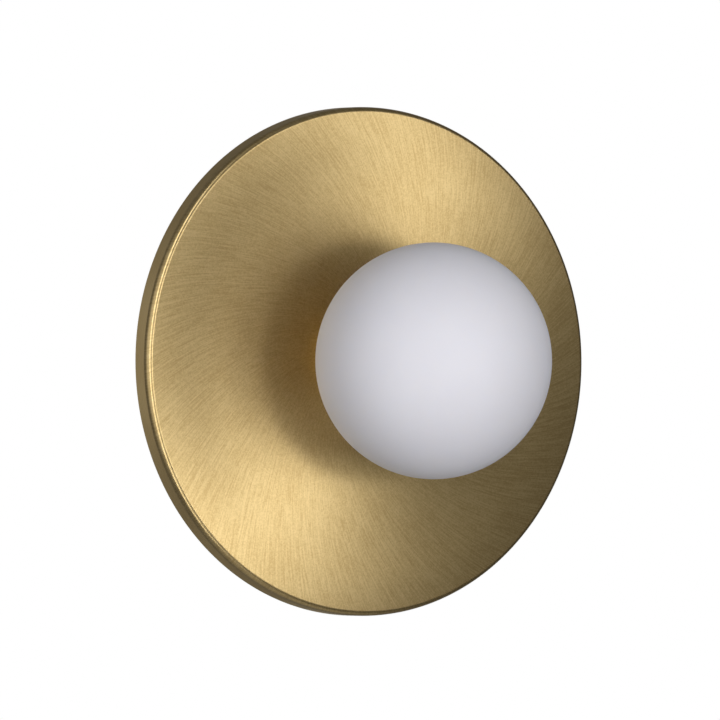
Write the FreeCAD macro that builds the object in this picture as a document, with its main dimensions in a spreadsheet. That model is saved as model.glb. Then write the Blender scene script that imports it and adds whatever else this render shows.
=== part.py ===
"""Wall sconce: a spun brass pan on the wall, with an opal glass globe close in front of it.

Frame: millimetres, +Z up, the wall is the plane Y = 0 and the sconce stands out from it towards -Y.
The origin is the middle of the wall bracket's back face.
"""
import FreeCAD, Part
import math
import os
import re
import Sketcher

os.makedirs("parts", exist_ok=True)
doc = FreeCAD.newDocument("wall_sconce")
Vector = FreeCAD.Vector

# Sizes in millimetres. Heights and depths are measured from the piece's own seat.
# A row that starts with = follows other rows, so that what fits together stays fitted.
SIZES = (
    # Clearances shared by the pieces
    ("pass_clearance", "0.2"),
    ("thread_gap", "0.05"),
    ("seat_gap", "0.05"),
    ("cut_overrun", "1"),
    # Pan, spun from sheet
    ("pan_radius", "130"),
    ("pan_depth", "13"),
    ("pan_sheet", "1"),
    ("pan_edge_radius", "3.5"),
    # Wall bracket, a bent steel strap
    ("strap_sheet", "1.5"),
    ("strap_width", "30"),
    ("strap_end_width", "16"),
    ("strap_taper_start", "88"),
    ("strap_taper_end", "104"),
    ("strap_bend_radius", "1.5"),
    ("ear_height", "9"),
    ("ear_clearance", "0.6"),
    ("ear_corner_radius", "3"),
    ("cable_hole_radius", "11"),
    ("slot_spacing", "120"),
    ("slot_length", "20"),
    ("slot_width", "5.2"),
    ("earth_boss_radius", "3.6"),
    ("earth_boss_height", "2"),
    ("earth_screw_drop", "84"),
    # Set screws that lock the pan on the bracket's ears
    ("side_screw_radius", "1.5"),
    ("side_screw_length", "8"),
    ("side_screw_height", "6"),
    ("side_screw_recess", "0.4"),
    ("side_hole_clearance", "0.4"),
    ("side_hole_radius", "=side_screw_radius + side_hole_clearance"),
    ("socket_flats", "1.5"),
    ("socket_depth", "2"),
    ("side_nut_flats", "5.5"),
    ("side_nut_height", "2.4"),
    # Hollow threaded nipple with its nuts, washer and earth tag
    ("nipple_radius", "5"),
    ("nipple_wall", "1.2"),
    ("nipple_bore_radius", "=nipple_radius - nipple_wall"),
    ("nipple_overrun", "0.5"),
    ("nipple_chamfer", "0.3"),
    ("nut_flats", "14"),
    ("nut_height", "2.7"),
    ("star_washer_radius", "8"),
    ("star_washer_sheet", "0.9"),
    ("star_tooth_depth", "1.3"),
    ("star_notch_width", "1.6"),
    ("tag_sheet", "0.8"),
    ("tag_ring_margin", "2.2"),
    ("tag_neck_length", "2.5"),
    ("tag_neck_width", "4"),
    ("tag_barrel_radius", "1.6"),
    ("tag_barrel_length", "6"),
    # Gallery, a turned brass cup that takes the globe's neck
    ("gallery_radius", "29"),
    ("gallery_wall", "3.6"),
    ("gallery_bore_radius", "=gallery_radius - gallery_wall"),
    ("gallery_height", "8.5"),
    ("gallery_floor", "2"),
    ("gallery_mouth_chamfer", "1"),
    ("gallery_rim_radius", "0.8"),
    # Silicone seal on the gallery's floor, under the end of the neck
    ("neck_clearance", "0.4"),
    ("seal_radius", "=gallery_bore_radius - neck_clearance"),
    ("seal_width", "4.5"),
    ("seal_height", "1.5"),
    # Opal glass globe with its threaded neck
    ("globe_radius", "60"),
    ("glass_wall", "3"),
    ("neck_radius", "=gallery_bore_radius - neck_clearance"),
    ("neck_wall", "3"),
    ("neck_fillet", "1"),
    ("shoulder_gap", "0.96"),
    ("globe_standoff", "=gallery_height + shoulder_gap + sqrt(globe_radius ^ 2 - neck_radius ^ 2)"),
    # Steel bracket that stands the lampholder off the nipple
    ("stand_sheet", "1"),
    ("stand_height", "7"),
    ("stand_margin", "2.8"),
    ("stand_length", "=holder_screw_spacing + 2 * stand_margin"),
    ("stand_width", "14"),
    ("stand_lip", "5.4"),
    # Ceramic lampholder for a two-pin capsule lamp
    ("holder_rim", "1.1"),
    ("holder_radius", "=holder_screw_spacing / 2 + holder_head_radius + holder_rim"),
    ("holder_flange_height", "5"),
    ("holder_height", "19"),
    ("holder_block_length", "19"),
    ("holder_block_width", "8.4"),
    ("holder_head_clearance", "0.3"),
    ("holder_screw_spacing", "=holder_block_width + 2 * (holder_head_radius + holder_head_clearance)"),
    ("holder_screw_radius", "1.5"),
    ("holder_screw_length", "6.6"),
    ("pin_spacing", "9"),
    ("pin_slot_play", "1"),
    ("pin_slot_length", "=pin_loop_width + 2 * pin_wire_radius + pin_slot_play"),
    ("pin_slot_width", "2.6"),
    ("holder_floor", "1.5"),
    ("pin_slot_depth", "=holder_height - lead_hole_depth - holder_floor"),
    ("contact_sheet", "0.4"),
    ("contact_width", "=pin_slot_length - pin_slot_play"),
    ("contact_height", "8"),
    ("lead_hole_depth", "2.5"),
    # Capsule lamp
    ("pin_wire_radius", "0.5"),
    ("pin_loop_width", "2.4"),
    ("pin_end_gap", "1"),
    ("pin_length", "=pin_slot_depth - pin_end_gap"),
    ("lamp_base_radius", "7.5"),
    ("lamp_base_height", "10"),
    ("lamp_base_groove_depth", "0.8"),
    ("lamp_base_groove_width", "1.6"),
    ("lamp_cover_radius", "8"),
    ("lamp_cover_height", "27"),
    ("lamp_cover_wall", "1"),
    ("lamp_board_width", "9"),
    ("lamp_board_height", "19"),
    ("lamp_board_sheet", "1"),
    ("lamp_chip_size", "2.8"),
    ("lamp_chip_height", "0.7"),
    ("lamp_chip_gap", "1.4"),
    ("lamp_chip_pitch", "=lamp_chip_size + lamp_chip_gap"),
    # Terminal block of three poles, with brass inserts and screws
    ("block_drop", "30"),
    ("pole_play", "0.3"),
    ("pole_pitch", "=2 * (barrel_radius + block_head_radius) + pole_play"),
    ("block_width", "17"),
    ("block_margin", "0.75"),
    ("block_web_height", "3"),
    ("barrel_radius", "3"),
    ("barrel_height", "4.1"),
    ("tower_radius", "2.8"),
    ("tower_clearance", "1"),
    ("tower_height", "=pan_depth - pan_sheet - strap_sheet - tower_clearance"),
    ("tower_margin", "1.4"),
    ("tower_spacing", "=block_width - 2 * (tower_radius + tower_margin)"),
    ("insert_radius", "2"),
    ("insert_bore_radius", "1.3"),
    ("insert_length", "14"),
    ("terminal_screw_radius", "1.3"),
    ("terminal_screw_recess", "1.2"),
    ("terminal_slot_depth", "0.8"),
    ("block_screw_radius", "1.25"),
    ("block_screw_length", "4.3"),
    ("block_head_radius", "2.1"),
    ("block_head_height", "1.6"),
    # Screw heads
    ("holder_head_radius", "2.7"),
    ("holder_head_height", "1.8"),
    ("earth_screw_radius", "2"),
    ("earth_head_radius", "4"),
    ("earth_head_height", "2.4"),
    ("driver_slot_width", "0.8"),
    # Leads inside the pan
    ("lead_radius", "1"),
    ("lead_lift", "3.3"),
    ("lead_exit_radius", "3.4"),
    ("sleeve_radius", "=nipple_bore_radius - pass_clearance"),
    ("sleeve_wall", "0.5"),
    ("lead_offset", "=sleeve_radius - sleeve_wall - pass_clearance - lead_radius"),
    ("ferrule_radius", "0.7"),
    ("ferrule_length", "6"),
)
NOTCHES = 10
POLES = 3
CHIPS = 4

sheet = doc.addObject("Spreadsheet::Sheet", "Sizes")
for row, (alias, text) in enumerate(SIZES, start=1):
    sheet.set("A%d" % row, alias)
    sheet.setAlias("B%d" % row, alias)
for row, (alias, text) in enumerate(SIZES, start=1):
    sheet.set("B%d" % row, text)
doc.recompute()


# Helpers

def bound(text):
    """Expression text with each size's alias pointing at the sheet."""
    return re.sub(r"[a-z]+(?:_[a-z]+)+", lambda found: "Sizes." + found.group(0), text)


def number(text):
    """Present value of an expression in the sheet's sizes."""
    return float(sheet.evalExpression(bound(text)))


def bind(thing, prop, text):
    thing.setExpression(prop, bound(text))


def spot(x, y):
    return Vector(number(x), number(y), 0)


def new_body(label):
    body = doc.addObject("PartDesign::Body", label)
    body.Label = label
    return body


def origin_item(body, role):
    for item in body.Origin.OriginFeatures:
        if item.Role == role:
            return item
    raise ValueError(role)


def new_sketch(body, plane):
    sketch = body.newObject("Sketcher::SketchObject", body.Label + "_sketch")
    sketch.AttachmentSupport = (origin_item(body, plane), [""])
    sketch.MapMode = "FlatFace"
    return sketch


def measure(sketch, kind, items, text):
    """Dimension in the sketch that follows the sheet."""
    item = sketch.addConstraint(Sketcher.Constraint(kind, *items, number(text)))
    bind(sketch, "Constraints[%d]" % item, text)


def hold(sketch, edge, point, x, y):
    """Fix one point of the sketch at x, y from its origin."""
    for kind, text, axis in (("DistanceX", x, -2), ("DistanceY", y, -1)):
        if text == "0":
            sketch.addConstraint(Sketcher.Constraint("PointOnObject", edge, point, axis))
        else:
            measure(sketch, kind, (-1, 1, edge, point), text)


def add_outline(sketch, corners):
    """Closed outline of straight edges through the corners."""
    places = [spot(x, y) for x, y in corners]
    edges = []
    for start, end in zip(places, places[1:] + places[:1]):
        edges.append(sketch.addGeometry(Part.LineSegment(start, end), False))
    for edge, following in zip(edges, edges[1:] + edges[:1]):
        sketch.addConstraint(Sketcher.Constraint("Coincident", edge, 2, following, 1))
    for edge, (x, y) in zip(edges, corners):
        hold(sketch, edge, 1, x, y)


def add_circle(sketch, x, y, radius):
    ring = Part.Circle(spot(x, y), Vector(0, 0, 1), number(radius))
    edge = sketch.addGeometry(ring, False)
    measure(sketch, "Radius", (edge,), radius)
    hold(sketch, edge, 3, x, y)


def add_slot(sketch, x, y, half_run, radius):
    """Round-ended slot that runs along the sketch's vertical axis."""
    upper = Part.Circle(spot(x, "%s + %s" % (y, half_run)), Vector(0, 0, 1), number(radius))
    lower = Part.Circle(spot(x, "%s - (%s)" % (y, half_run)), Vector(0, 0, 1), number(radius))
    side = Vector(number(radius), 0, 0)
    top = sketch.addGeometry(Part.ArcOfCircle(upper, 0, math.pi), False)
    left = sketch.addGeometry(Part.LineSegment(upper.Center - side, lower.Center - side), False)
    bottom = sketch.addGeometry(Part.ArcOfCircle(lower, math.pi, 2 * math.pi), False)
    right = sketch.addGeometry(Part.LineSegment(lower.Center + side, upper.Center + side), False)
    for first, second in ((top, left), (left, bottom), (bottom, right), (right, top)):
        sketch.addConstraint(Sketcher.Constraint("Tangent", first, 2, second, 1))
    sketch.addConstraint(Sketcher.Constraint("Equal", top, bottom))
    measure(sketch, "Radius", (top,), radius)
    hold(sketch, top, 3, x, "%s + %s" % (y, half_run))
    hold(sketch, bottom, 3, x, "%s - (%s)" % (y, half_run))


def finish_feature(body, feature):
    """Make the feature the body's tip and build it."""
    body.Tip = feature
    doc.recompute()
    if "Invalid" in feature.State or "Error" in feature.State:
        raise RuntimeError("%s failed in %s" % (feature.Name, body.Label))
    return feature


def pad(body, sketch, length, both_sides=False):
    feature = body.newObject("PartDesign::Pad", body.Label + "_pad")
    feature.Profile = sketch
    bind(feature, "Length", length)
    feature.SideType = "Symmetric" if both_sides else "One side"
    return finish_feature(body, feature)


def pocket(body, sketch, length, both_sides=False, against=False):
    """Cut that has to take something away."""
    before = body.Shape.Volume
    feature = body.newObject("PartDesign::Pocket", body.Label + "_pocket")
    feature.Profile = sketch
    bind(feature, "Length", length)
    feature.SideType = "Symmetric" if both_sides else "One side"
    feature.Reversed = against
    finish_feature(body, feature)
    if body.Shape.Volume >= before:
        raise RuntimeError("a pocket in %s cuts nothing" % body.Label)
    return feature


def revolve(body, sketch):
    """Solid turned about the body's Y axis from a half outline in the XY plane."""
    feature = body.newObject("PartDesign::Revolution", body.Label + "_turned")
    feature.Profile = sketch
    feature.ReferenceAxis = (sketch, ["V_Axis"])
    feature.Angle = 360
    return finish_feature(body, feature)


def turn(body, corners):
    """Solid turned from straight edges through (radius, height) corners."""
    sketch = new_sketch(body, "XY_Plane")
    add_outline(sketch, corners)
    return revolve(body, sketch)


def dress(body, kind, text, wanted):
    """Fillet or chamfer on each edge of the tip for which wanted(edge) is true."""
    base = body.Tip
    names = ["Edge%d" % i for i, edge in enumerate(base.Shape.Edges, start=1) if wanted(edge)]
    if not names:
        raise RuntimeError("no edge found in %s" % body.Label)
    feature = body.newObject("PartDesign::" + kind, body.Label + "_" + kind.lower())
    feature.Base = (base, names)
    bind(feature, "Radius" if kind == "Fillet" else "Size", text)
    return finish_feature(body, feature)


def near(first, second):
    return abs(first - second) < 1e-4 * max(1, abs(second))


def is_ring(edge, radius, y):
    """True for a full circle about the Y axis with this radius, at this height on it."""
    if edge.Degenerated or not edge.isClosed():
        return False
    curve = edge.Curve
    if not isinstance(curve, Part.Circle):
        return False
    return near(curve.Radius, number(radius)) and near(curve.Center.y, number(y))


def repeat(body, features, axis, pitch, count):
    """Row of the features, or of the whole body so far where features is empty."""
    pattern = body.newObject("PartDesign::LinearPattern", body.Label + "_row")
    if features:
        pattern.Originals = features
    else:
        pattern.TransformMode = "Whole shape"
    pattern.Direction = (origin_item(body, axis), [""])
    pattern.Mode = "Spacing"
    bind(pattern, "Offset", pitch)
    pattern.Occurrences = count
    return finish_feature(body, pattern)


def place(thing, x="0", y="0", z="0", rotation=None):
    if rotation is not None:
        thing.Placement = FreeCAD.Placement(Vector(0, 0, 0), rotation)
    for axis, text in (("x", x), ("y", y), ("z", z)):
        bind(thing, ".Placement.Base." + axis, text)
    return thing


def mirrored(body, normal):
    twin = doc.addObject("Part::Mirroring", body.Label + "_twin")
    twin.Source = body
    twin.Normal = normal
    return twin


def group(label, members):
    """One sub-part of several separate solids."""
    gathered = doc.addObject("Part::Compound", label)
    gathered.Label = label
    gathered.Links = members
    return gathered


# Depths from the wall, towards the room, that several pieces share
PAN_INSIDE = "pan_depth - pan_sheet"
REAR_TAG = PAN_INSIDE + " - tag_sheet"
REAR_WASHER = REAR_TAG + " - star_washer_sheet"
REAR_NUT = REAR_WASHER + " - nut_height"
NIPPLE_BACK = REAR_NUT + " - nipple_overrun"
STAND_SEAT = "pan_depth + gallery_floor"
FRONT_NUT = STAND_SEAT + " + stand_sheet"
NIPPLE_FRONT = FRONT_NUT + " + nut_height + nipple_overrun"
HOLDER_SEAT = STAND_SEAT + " + stand_height"
HOLDER_TOP = HOLDER_SEAT + " + holder_height"
LAMP_SEAT = HOLDER_TOP + " + pass_clearance"
NECK_END = STAND_SEAT + " + seal_height + 2 * seat_gap"
GLOBE_CENTRE = "pan_depth + globe_standoff"
EAR_FACE = "pan_radius - pan_sheet - ear_clearance"
BARREL_AXIS = "strap_sheet + barrel_height"
Z_UP = Vector(0, 0, 1)


def brass_pan():
    """Spun pan: flat face, rounded front edge, short side wall that returns to the wall."""
    body = new_body("brass_pan")
    hole = "nipple_radius + pass_clearance"
    inner = "pan_radius - pan_sheet"
    turn(body, (
        (hole, "-pan_depth"),
        ("pan_radius", "-pan_depth"),
        ("pan_radius", "0"),
        (inner, "0"),
        (inner, "-(%s)" % PAN_INSIDE),
        (hole, "-(%s)" % PAN_INSIDE),
    ))
    dress(body, "Fillet", "pan_edge_radius", lambda edge: is_ring(edge, "pan_radius", "-pan_depth"))
    dress(body, "Fillet", "pan_edge_radius - pan_sheet",
          lambda edge: is_ring(edge, inner, "-(%s)" % PAN_INSIDE))
    sketch = new_sketch(body, "XY_Plane")
    add_circle(sketch, "0", "-side_screw_height", "side_hole_radius")
    pocket(body, sketch, "2 * (pan_radius + cut_overrun)", both_sides=True)
    return body


def wall_bracket():
    """Strap bent into two ears, with wall slots, cable hole, earth boss and tapped holes."""
    body = new_body("wall_bracket")
    inside = "(%s - strap_sheet)" % EAR_FACE
    outside = "(%s)" % EAR_FACE
    profile = new_sketch(body, "YZ_Plane")
    add_outline(profile, (
        ("0", outside),
        ("-ear_height", outside),
        ("-ear_height", inside),
        ("-strap_sheet", inside),
        ("-strap_sheet", "-" + inside),
        ("-ear_height", "-" + inside),
        ("-ear_height", "-" + outside),
        ("0", "-" + outside),
    ))
    pad(body, profile, "strap_width", both_sides=True)

    def bend_line(edge, y, z):
        box = edge.BoundBox
        return box.XLength > 0 and near(box.Center.y, -number(y)) and near(abs(box.Center.z), number(z))

    dress(body, "Fillet", "strap_bend_radius", lambda edge: bend_line(edge, "strap_sheet", inside))
    dress(body, "Fillet", "strap_bend_radius + strap_sheet", lambda edge: bend_line(edge, "0", outside))

    tapers = new_sketch(body, "XZ_Plane")
    for across in ("", "-"):
        for up in ("", "-"):
            add_outline(tapers, (
                (across + "(strap_width / 2 + cut_overrun)", up + "strap_taper_start"),
                (across + "strap_width / 2", up + "strap_taper_start"),
                (across + "strap_end_width / 2", up + "strap_taper_end"),
                (across + "strap_end_width / 2", up + "(pan_radius + cut_overrun)"),
                (across + "(strap_width / 2 + cut_overrun)", up + "(pan_radius + cut_overrun)"),
            ))
    pocket(body, tapers, "2 * (ear_height + cut_overrun)", both_sides=True)

    def ear_corner(edge):
        box = edge.BoundBox
        flat = near(box.YMin, -number("ear_height")) and near(box.YMax, -number("ear_height"))
        return flat and near(box.XLength, 0) and not near(box.ZLength, 0)

    dress(body, "Fillet", "ear_corner_radius", ear_corner)

    boss = new_sketch(body, "XZ_Plane")
    add_circle(boss, "0", "-earth_screw_drop", "earth_boss_radius")
    pad(body, boss, "strap_sheet + earth_boss_height")

    holes = new_sketch(body, "XZ_Plane")
    add_circle(holes, "0", "0", "cable_hole_radius")
    add_circle(holes, "0", "-earth_screw_drop", "earth_screw_radius + thread_gap")
    for side in ("+", "-"):
        add_circle(holes, "0", "-block_drop %s pole_pitch / 2" % side, "block_screw_radius + thread_gap")
        add_slot(holes, "0", side + "slot_spacing / 2", "(slot_length - slot_width) / 2", "slot_width / 2")
    pocket(body, holes, "2 * (ear_height + cut_overrun)", both_sides=True)

    ear_holes = new_sketch(body, "XY_Plane")
    add_circle(ear_holes, "0", "-side_screw_height", "side_screw_radius + thread_gap")
    pocket(body, ear_holes, "2 * (pan_radius + cut_overrun)", both_sides=True)
    return body


def add_hexagon(sketch, flats):
    """Hexagon about the sketch's origin, given the size across its flats."""
    reach = "(%s) / sqrt(3) * " % flats
    corners = []
    for angle in range(0, 360, 60):
        corners.append((reach + "cos(%d)" % angle, reach + "sin(%d)" % angle))
    corners[0] = (corners[0][0], "0")
    corners[3] = (corners[3][0], "0")
    add_outline(sketch, corners)


def side_screws():
    """Headless socket screws, one in each ear, whose outer ends sit in the pan's side wall."""
    body = new_body("side_screw")
    shank = new_sketch(body, "XY_Plane")
    add_circle(shank, "0", "0", "side_screw_radius")
    pad(body, shank, "side_screw_length")
    socket = new_sketch(body, "XY_Plane")
    add_hexagon(socket, "socket_flats")
    bind(socket, ".AttachmentOffset.Base.z", "side_screw_length")
    pocket(body, socket, "socket_depth")
    place(body, y="-side_screw_height", z="pan_radius - side_screw_recess - side_screw_length")
    return group("side_screws", [body, mirrored(body, Z_UP)])


def side_nuts():
    """Weld nuts on the inner faces of the ears."""
    body = new_body("side_nut")
    sketch = new_sketch(body, "XY_Plane")
    add_hexagon(sketch, "side_nut_flats")
    add_circle(sketch, "0", "0", "side_screw_radius + thread_gap")
    pad(body, sketch, "side_nut_height")
    place(body, y="-side_screw_height", z=EAR_FACE + " - strap_sheet - side_nut_height")
    return group("side_nuts", [body, mirrored(body, Z_UP)])


def globe_gallery():
    """Turned cup on the pan's face that the globe's neck screws into."""
    body = new_body("globe_gallery")
    hole = "nipple_radius + pass_clearance"
    turn(body, (
        (hole, "0"),
        ("gallery_radius", "0"),
        ("gallery_radius", "-gallery_height"),
        ("gallery_bore_radius", "-gallery_height"),
        ("gallery_bore_radius", "-gallery_floor"),
        (hole, "-gallery_floor"),
    ))
    dress(body, "Chamfer", "gallery_mouth_chamfer",
          lambda edge: is_ring(edge, "gallery_bore_radius", "-gallery_height"))
    dress(body, "Fillet", "gallery_rim_radius",
          lambda edge: is_ring(edge, "gallery_radius", "-gallery_height"))
    return place(body, y="-pan_depth")


def threaded_nipple():
    """Hollow threaded tube that clamps the gallery and the pan together and passes the leads."""
    body = new_body("threaded_nipple")
    back = "-(%s)" % NIPPLE_BACK
    front = "-(%s)" % NIPPLE_FRONT
    turn(body, (
        ("nipple_bore_radius", back),
        ("nipple_radius", back),
        ("nipple_radius", front),
        ("nipple_bore_radius", front),
    ))
    dress(body, "Chamfer", "nipple_chamfer",
          lambda edge: is_ring(edge, "nipple_radius", back) or is_ring(edge, "nipple_radius", front))
    return body


def locknut(label, depth):
    """Thin hexagon nut on the nipple."""
    body = new_body(label)
    sketch = new_sketch(body, "XZ_Plane")
    add_hexagon(sketch, "nut_flats")
    add_circle(sketch, "0", "0", "nipple_radius + thread_gap")
    pad(body, sketch, "nut_height")
    return place(body, y="-(%s)" % depth)


def star_washer():
    """Shakeproof washer with a row of notches round its edge."""
    body = new_body("star_washer")
    blank = new_sketch(body, "XZ_Plane")
    add_circle(blank, "0", "0", "star_washer_radius")
    add_circle(blank, "0", "0", "nipple_radius + pass_clearance")
    pad(body, blank, "star_washer_sheet")
    notch = new_sketch(body, "XZ_Plane")
    add_outline(notch, (
        ("star_washer_radius - star_tooth_depth", "-star_notch_width / 2"),
        ("star_washer_radius + cut_overrun", "-star_notch_width / 2"),
        ("star_washer_radius + cut_overrun", "star_notch_width / 2"),
        ("star_washer_radius - star_tooth_depth", "star_notch_width / 2"),
    ))
    cut = pocket(body, notch, "2 * (star_washer_sheet + cut_overrun)", both_sides=True)
    pattern = body.newObject("PartDesign::PolarPattern", "star_washer_ring")
    pattern.Originals = [cut]
    pattern.Axis = (origin_item(body, "Y_Axis"), [""])
    pattern.Angle = 360
    pattern.Occurrences = NOTCHES
    finish_feature(body, pattern)
    return place(body, y="-(%s)" % REAR_WASHER)


def crimp_tag(label, hole, barrel_drop):
    """Ring terminal that lies in the XZ plane, with its crimped barrel along +X."""
    body = new_body(label)
    ring = new_sketch(body, "XZ_Plane")
    add_circle(ring, "0", "0", hole + " + tag_ring_margin")
    pad(body, ring, "tag_sheet")
    start = "(%s + tag_ring_margin + tag_neck_length)" % hole
    neck = new_sketch(body, "XZ_Plane")
    add_outline(neck, (
        ("0", "-tag_neck_width / 2"),
        (start + " + tag_barrel_radius", "-tag_neck_width / 2"),
        (start + " + tag_barrel_radius", "tag_neck_width / 2"),
        ("0", "tag_neck_width / 2"),
    ))
    pad(body, neck, "tag_sheet")
    barrel = new_sketch(body, "YZ_Plane")
    add_circle(barrel, barrel_drop, "0", "tag_barrel_radius")
    bind(barrel, ".AttachmentOffset.Base.z", start)
    pad(body, barrel, "tag_barrel_length")
    eye = new_sketch(body, "XZ_Plane")
    add_circle(eye, "0", "0", hole)
    pocket(body, eye, "2 * (tag_sheet + cut_overrun)", both_sides=True)
    return body


TAG_REACH = "tag_ring_margin + tag_neck_length + tag_barrel_length"
NIPPLE_TAG_HOLE = "nipple_radius + pass_clearance"
EARTH_TAG_HOLE = "earth_screw_radius + pass_clearance"


def nipple_tag():
    """Earth tag under the nut behind the pan, with its barrel on the wall side."""
    body = crimp_tag("nipple_tag", NIPPLE_TAG_HOLE, "tag_barrel_radius - tag_sheet + pass_clearance")
    return place(body, y="-(%s)" % REAR_TAG)


EARTH_WASHER = "strap_sheet + earth_boss_height"
FIRST_TAG = EARTH_WASHER + " + star_washer_sheet"
SECOND_TAG = FIRST_TAG + " + tag_sheet"


def earth_tags():
    """Two earth tags under the bracket's earth screw, one to each side."""
    right = crimp_tag("right_tag", EARTH_TAG_HOLE, "-tag_barrel_radius")
    place(right, y="-(%s)" % SECOND_TAG, z="-earth_screw_drop")
    left = crimp_tag("left_tag", EARTH_TAG_HOLE, "-tag_barrel_radius")
    half_turn = FreeCAD.Rotation(Vector(0, 1, 0), 180)
    place(left, y="-(%s)" % FIRST_TAG, z="-earth_screw_drop", rotation=half_turn)
    return group("earth_tags", [left, right])


def cut_driver_slot(body, radius, height, depth):
    """Slot for a screwdriver across the end of a screw that points to -Y."""
    slot = new_sketch(body, "XZ_Plane")
    reach = "(%s + cut_overrun)" % radius
    add_outline(slot, (
        ("-" + reach, "-driver_slot_width / 2"),
        (reach, "-driver_slot_width / 2"),
        (reach, "driver_slot_width / 2"),
        ("-" + reach, "driver_slot_width / 2"),
    ))
    bind(slot, ".AttachmentOffset.Base.z", height)
    pocket(body, slot, depth)


def headed_screw(label, radius, length, head_radius, head_height):
    """Slotted pan-head screw along Y, with its head towards -Y and its head's seat at the origin."""
    body = new_body(label)
    turn(body, (
        ("0", length),
        (radius, length),
        (radius, "0"),
        (head_radius, "0"),
        (head_radius, "-" + head_height),
        ("0", "-" + head_height),
    ))
    dress(body, "Fillet", head_height + " / 2",
          lambda edge: is_ring(edge, head_radius, "-" + head_height))
    cut_driver_slot(body, head_radius, head_height, head_height + " / 2")
    return body


def earth_screw():
    body = headed_screw("earth_screw", "earth_screw_radius", "(%s + tag_sheet)" % SECOND_TAG,
                        "earth_head_radius", "earth_head_height")
    return place(body, y="-(%s + tag_sheet)" % SECOND_TAG, z="-earth_screw_drop")


def earth_washer():
    body = new_body("earth_washer")
    sketch = new_sketch(body, "XZ_Plane")
    add_circle(sketch, "0", "0", "earth_head_radius")
    add_circle(sketch, "0", "0", EARTH_TAG_HOLE)
    pad(body, sketch, "star_washer_sheet")
    return place(body, y="-(%s)" % EARTH_WASHER, z="-earth_screw_drop")


def lampholder_stand():
    """Steel strip bent round the nut, with two lips that the ceramic stands on."""
    body = new_body("lampholder_stand")
    half = "stand_length / 2"
    lip = "(stand_length / 2 - stand_lip)"
    wall = "(stand_length / 2 - stand_sheet)"
    profile = new_sketch(body, "XY_Plane")
    add_outline(profile, (
        ("-" + half, "0"),
        (half, "0"),
        (half, "-stand_height"),
        (lip, "-stand_height"),
        (lip, "-(stand_height - stand_sheet)"),
        (wall, "-(stand_height - stand_sheet)"),
        (wall, "-stand_sheet"),
        ("-" + wall, "-stand_sheet"),
        ("-" + wall, "-(stand_height - stand_sheet)"),
        ("-" + lip, "-(stand_height - stand_sheet)"),
        ("-" + lip, "-stand_height"),
        ("-" + half, "-stand_height"),
    ))
    pad(body, profile, "stand_width", both_sides=True)
    base_hole = new_sketch(body, "XZ_Plane")
    add_circle(base_hole, "0", "0", "nipple_radius + pass_clearance")
    pocket(body, base_hole, "stand_sheet + cut_overrun", against=True)
    lip_holes = new_sketch(body, "XZ_Plane")
    bind(lip_holes, ".AttachmentOffset.Base.z", "stand_height")
    for side in ("", "-"):
        add_circle(lip_holes, side + "holder_screw_spacing / 2", "0", "holder_screw_radius + thread_gap")
    pocket(body, lip_holes, "stand_sheet")
    return place(body, y="-(%s)" % STAND_SEAT)


def lampholder():
    """Ceramic body: round flange with two screw holes, and a block with the two pin slots."""
    body = new_body("lampholder")
    flange = new_sketch(body, "XZ_Plane")
    add_circle(flange, "0", "0", "holder_radius")
    pad(body, flange, "holder_flange_height")
    block = new_sketch(body, "XZ_Plane")
    add_slot(block, "0", "0", "(holder_block_length - holder_block_width) / 2", "holder_block_width / 2")
    pad(body, block, "holder_height")
    screw_holes = new_sketch(body, "XZ_Plane")
    for side in ("", "-"):
        add_circle(screw_holes, side + "holder_screw_spacing / 2", "0",
                   "holder_screw_radius + pass_clearance")
    pocket(body, screw_holes, "2 * holder_height", both_sides=True)
    slots = new_sketch(body, "XZ_Plane")
    bind(slots, ".AttachmentOffset.Base.z", "holder_height")
    for side in ("", "-"):
        add_slot(slots, "0", side + "pin_spacing / 2", "(pin_slot_length - pin_slot_width) / 2",
                 "pin_slot_width / 2")
    pocket(body, slots, "pin_slot_depth")
    lead_holes = new_sketch(body, "XZ_Plane")
    for side in ("", "-"):
        add_circle(lead_holes, "0", side + "lead_offset", "lead_radius + thread_gap")
    pocket(body, lead_holes, "lead_hole_depth", against=True)
    return place(body, y="-(%s)" % HOLDER_SEAT)


def holder_screws():
    body = headed_screw("holder_screws", "holder_screw_radius", "holder_screw_length",
                        "holder_head_radius", "holder_head_height")
    repeat(body, [], "X_Axis", "holder_screw_spacing", 2)
    return place(body, x="-holder_screw_spacing / 2", y="-(%s + holder_flange_height)" % HOLDER_SEAT)


def lampholder_contacts():
    """Two U-shaped spring clips in the pin slots, each gripping one pin."""
    body = new_body("contact")
    gap = "(pin_wire_radius + seat_gap)"
    outer = "(pin_wire_radius + seat_gap + contact_sheet)"
    profile = new_sketch(body, "XY_Plane")
    add_outline(profile, (
        ("-" + outer, "0"),
        (outer, "0"),
        (outer, "-contact_height"),
        (gap, "-contact_height"),
        (gap, "-contact_sheet"),
        ("-" + gap, "-contact_sheet"),
        ("-" + gap, "-contact_height"),
        ("-" + outer, "-contact_height"),
    ))
    pad(body, profile, "contact_width", both_sides=True)
    place(body, y="-(%s - pin_slot_depth)" % HOLDER_TOP, z="pin_spacing / 2")
    return group("lampholder_contacts", [body, mirrored(body, Z_UP)])


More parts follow.
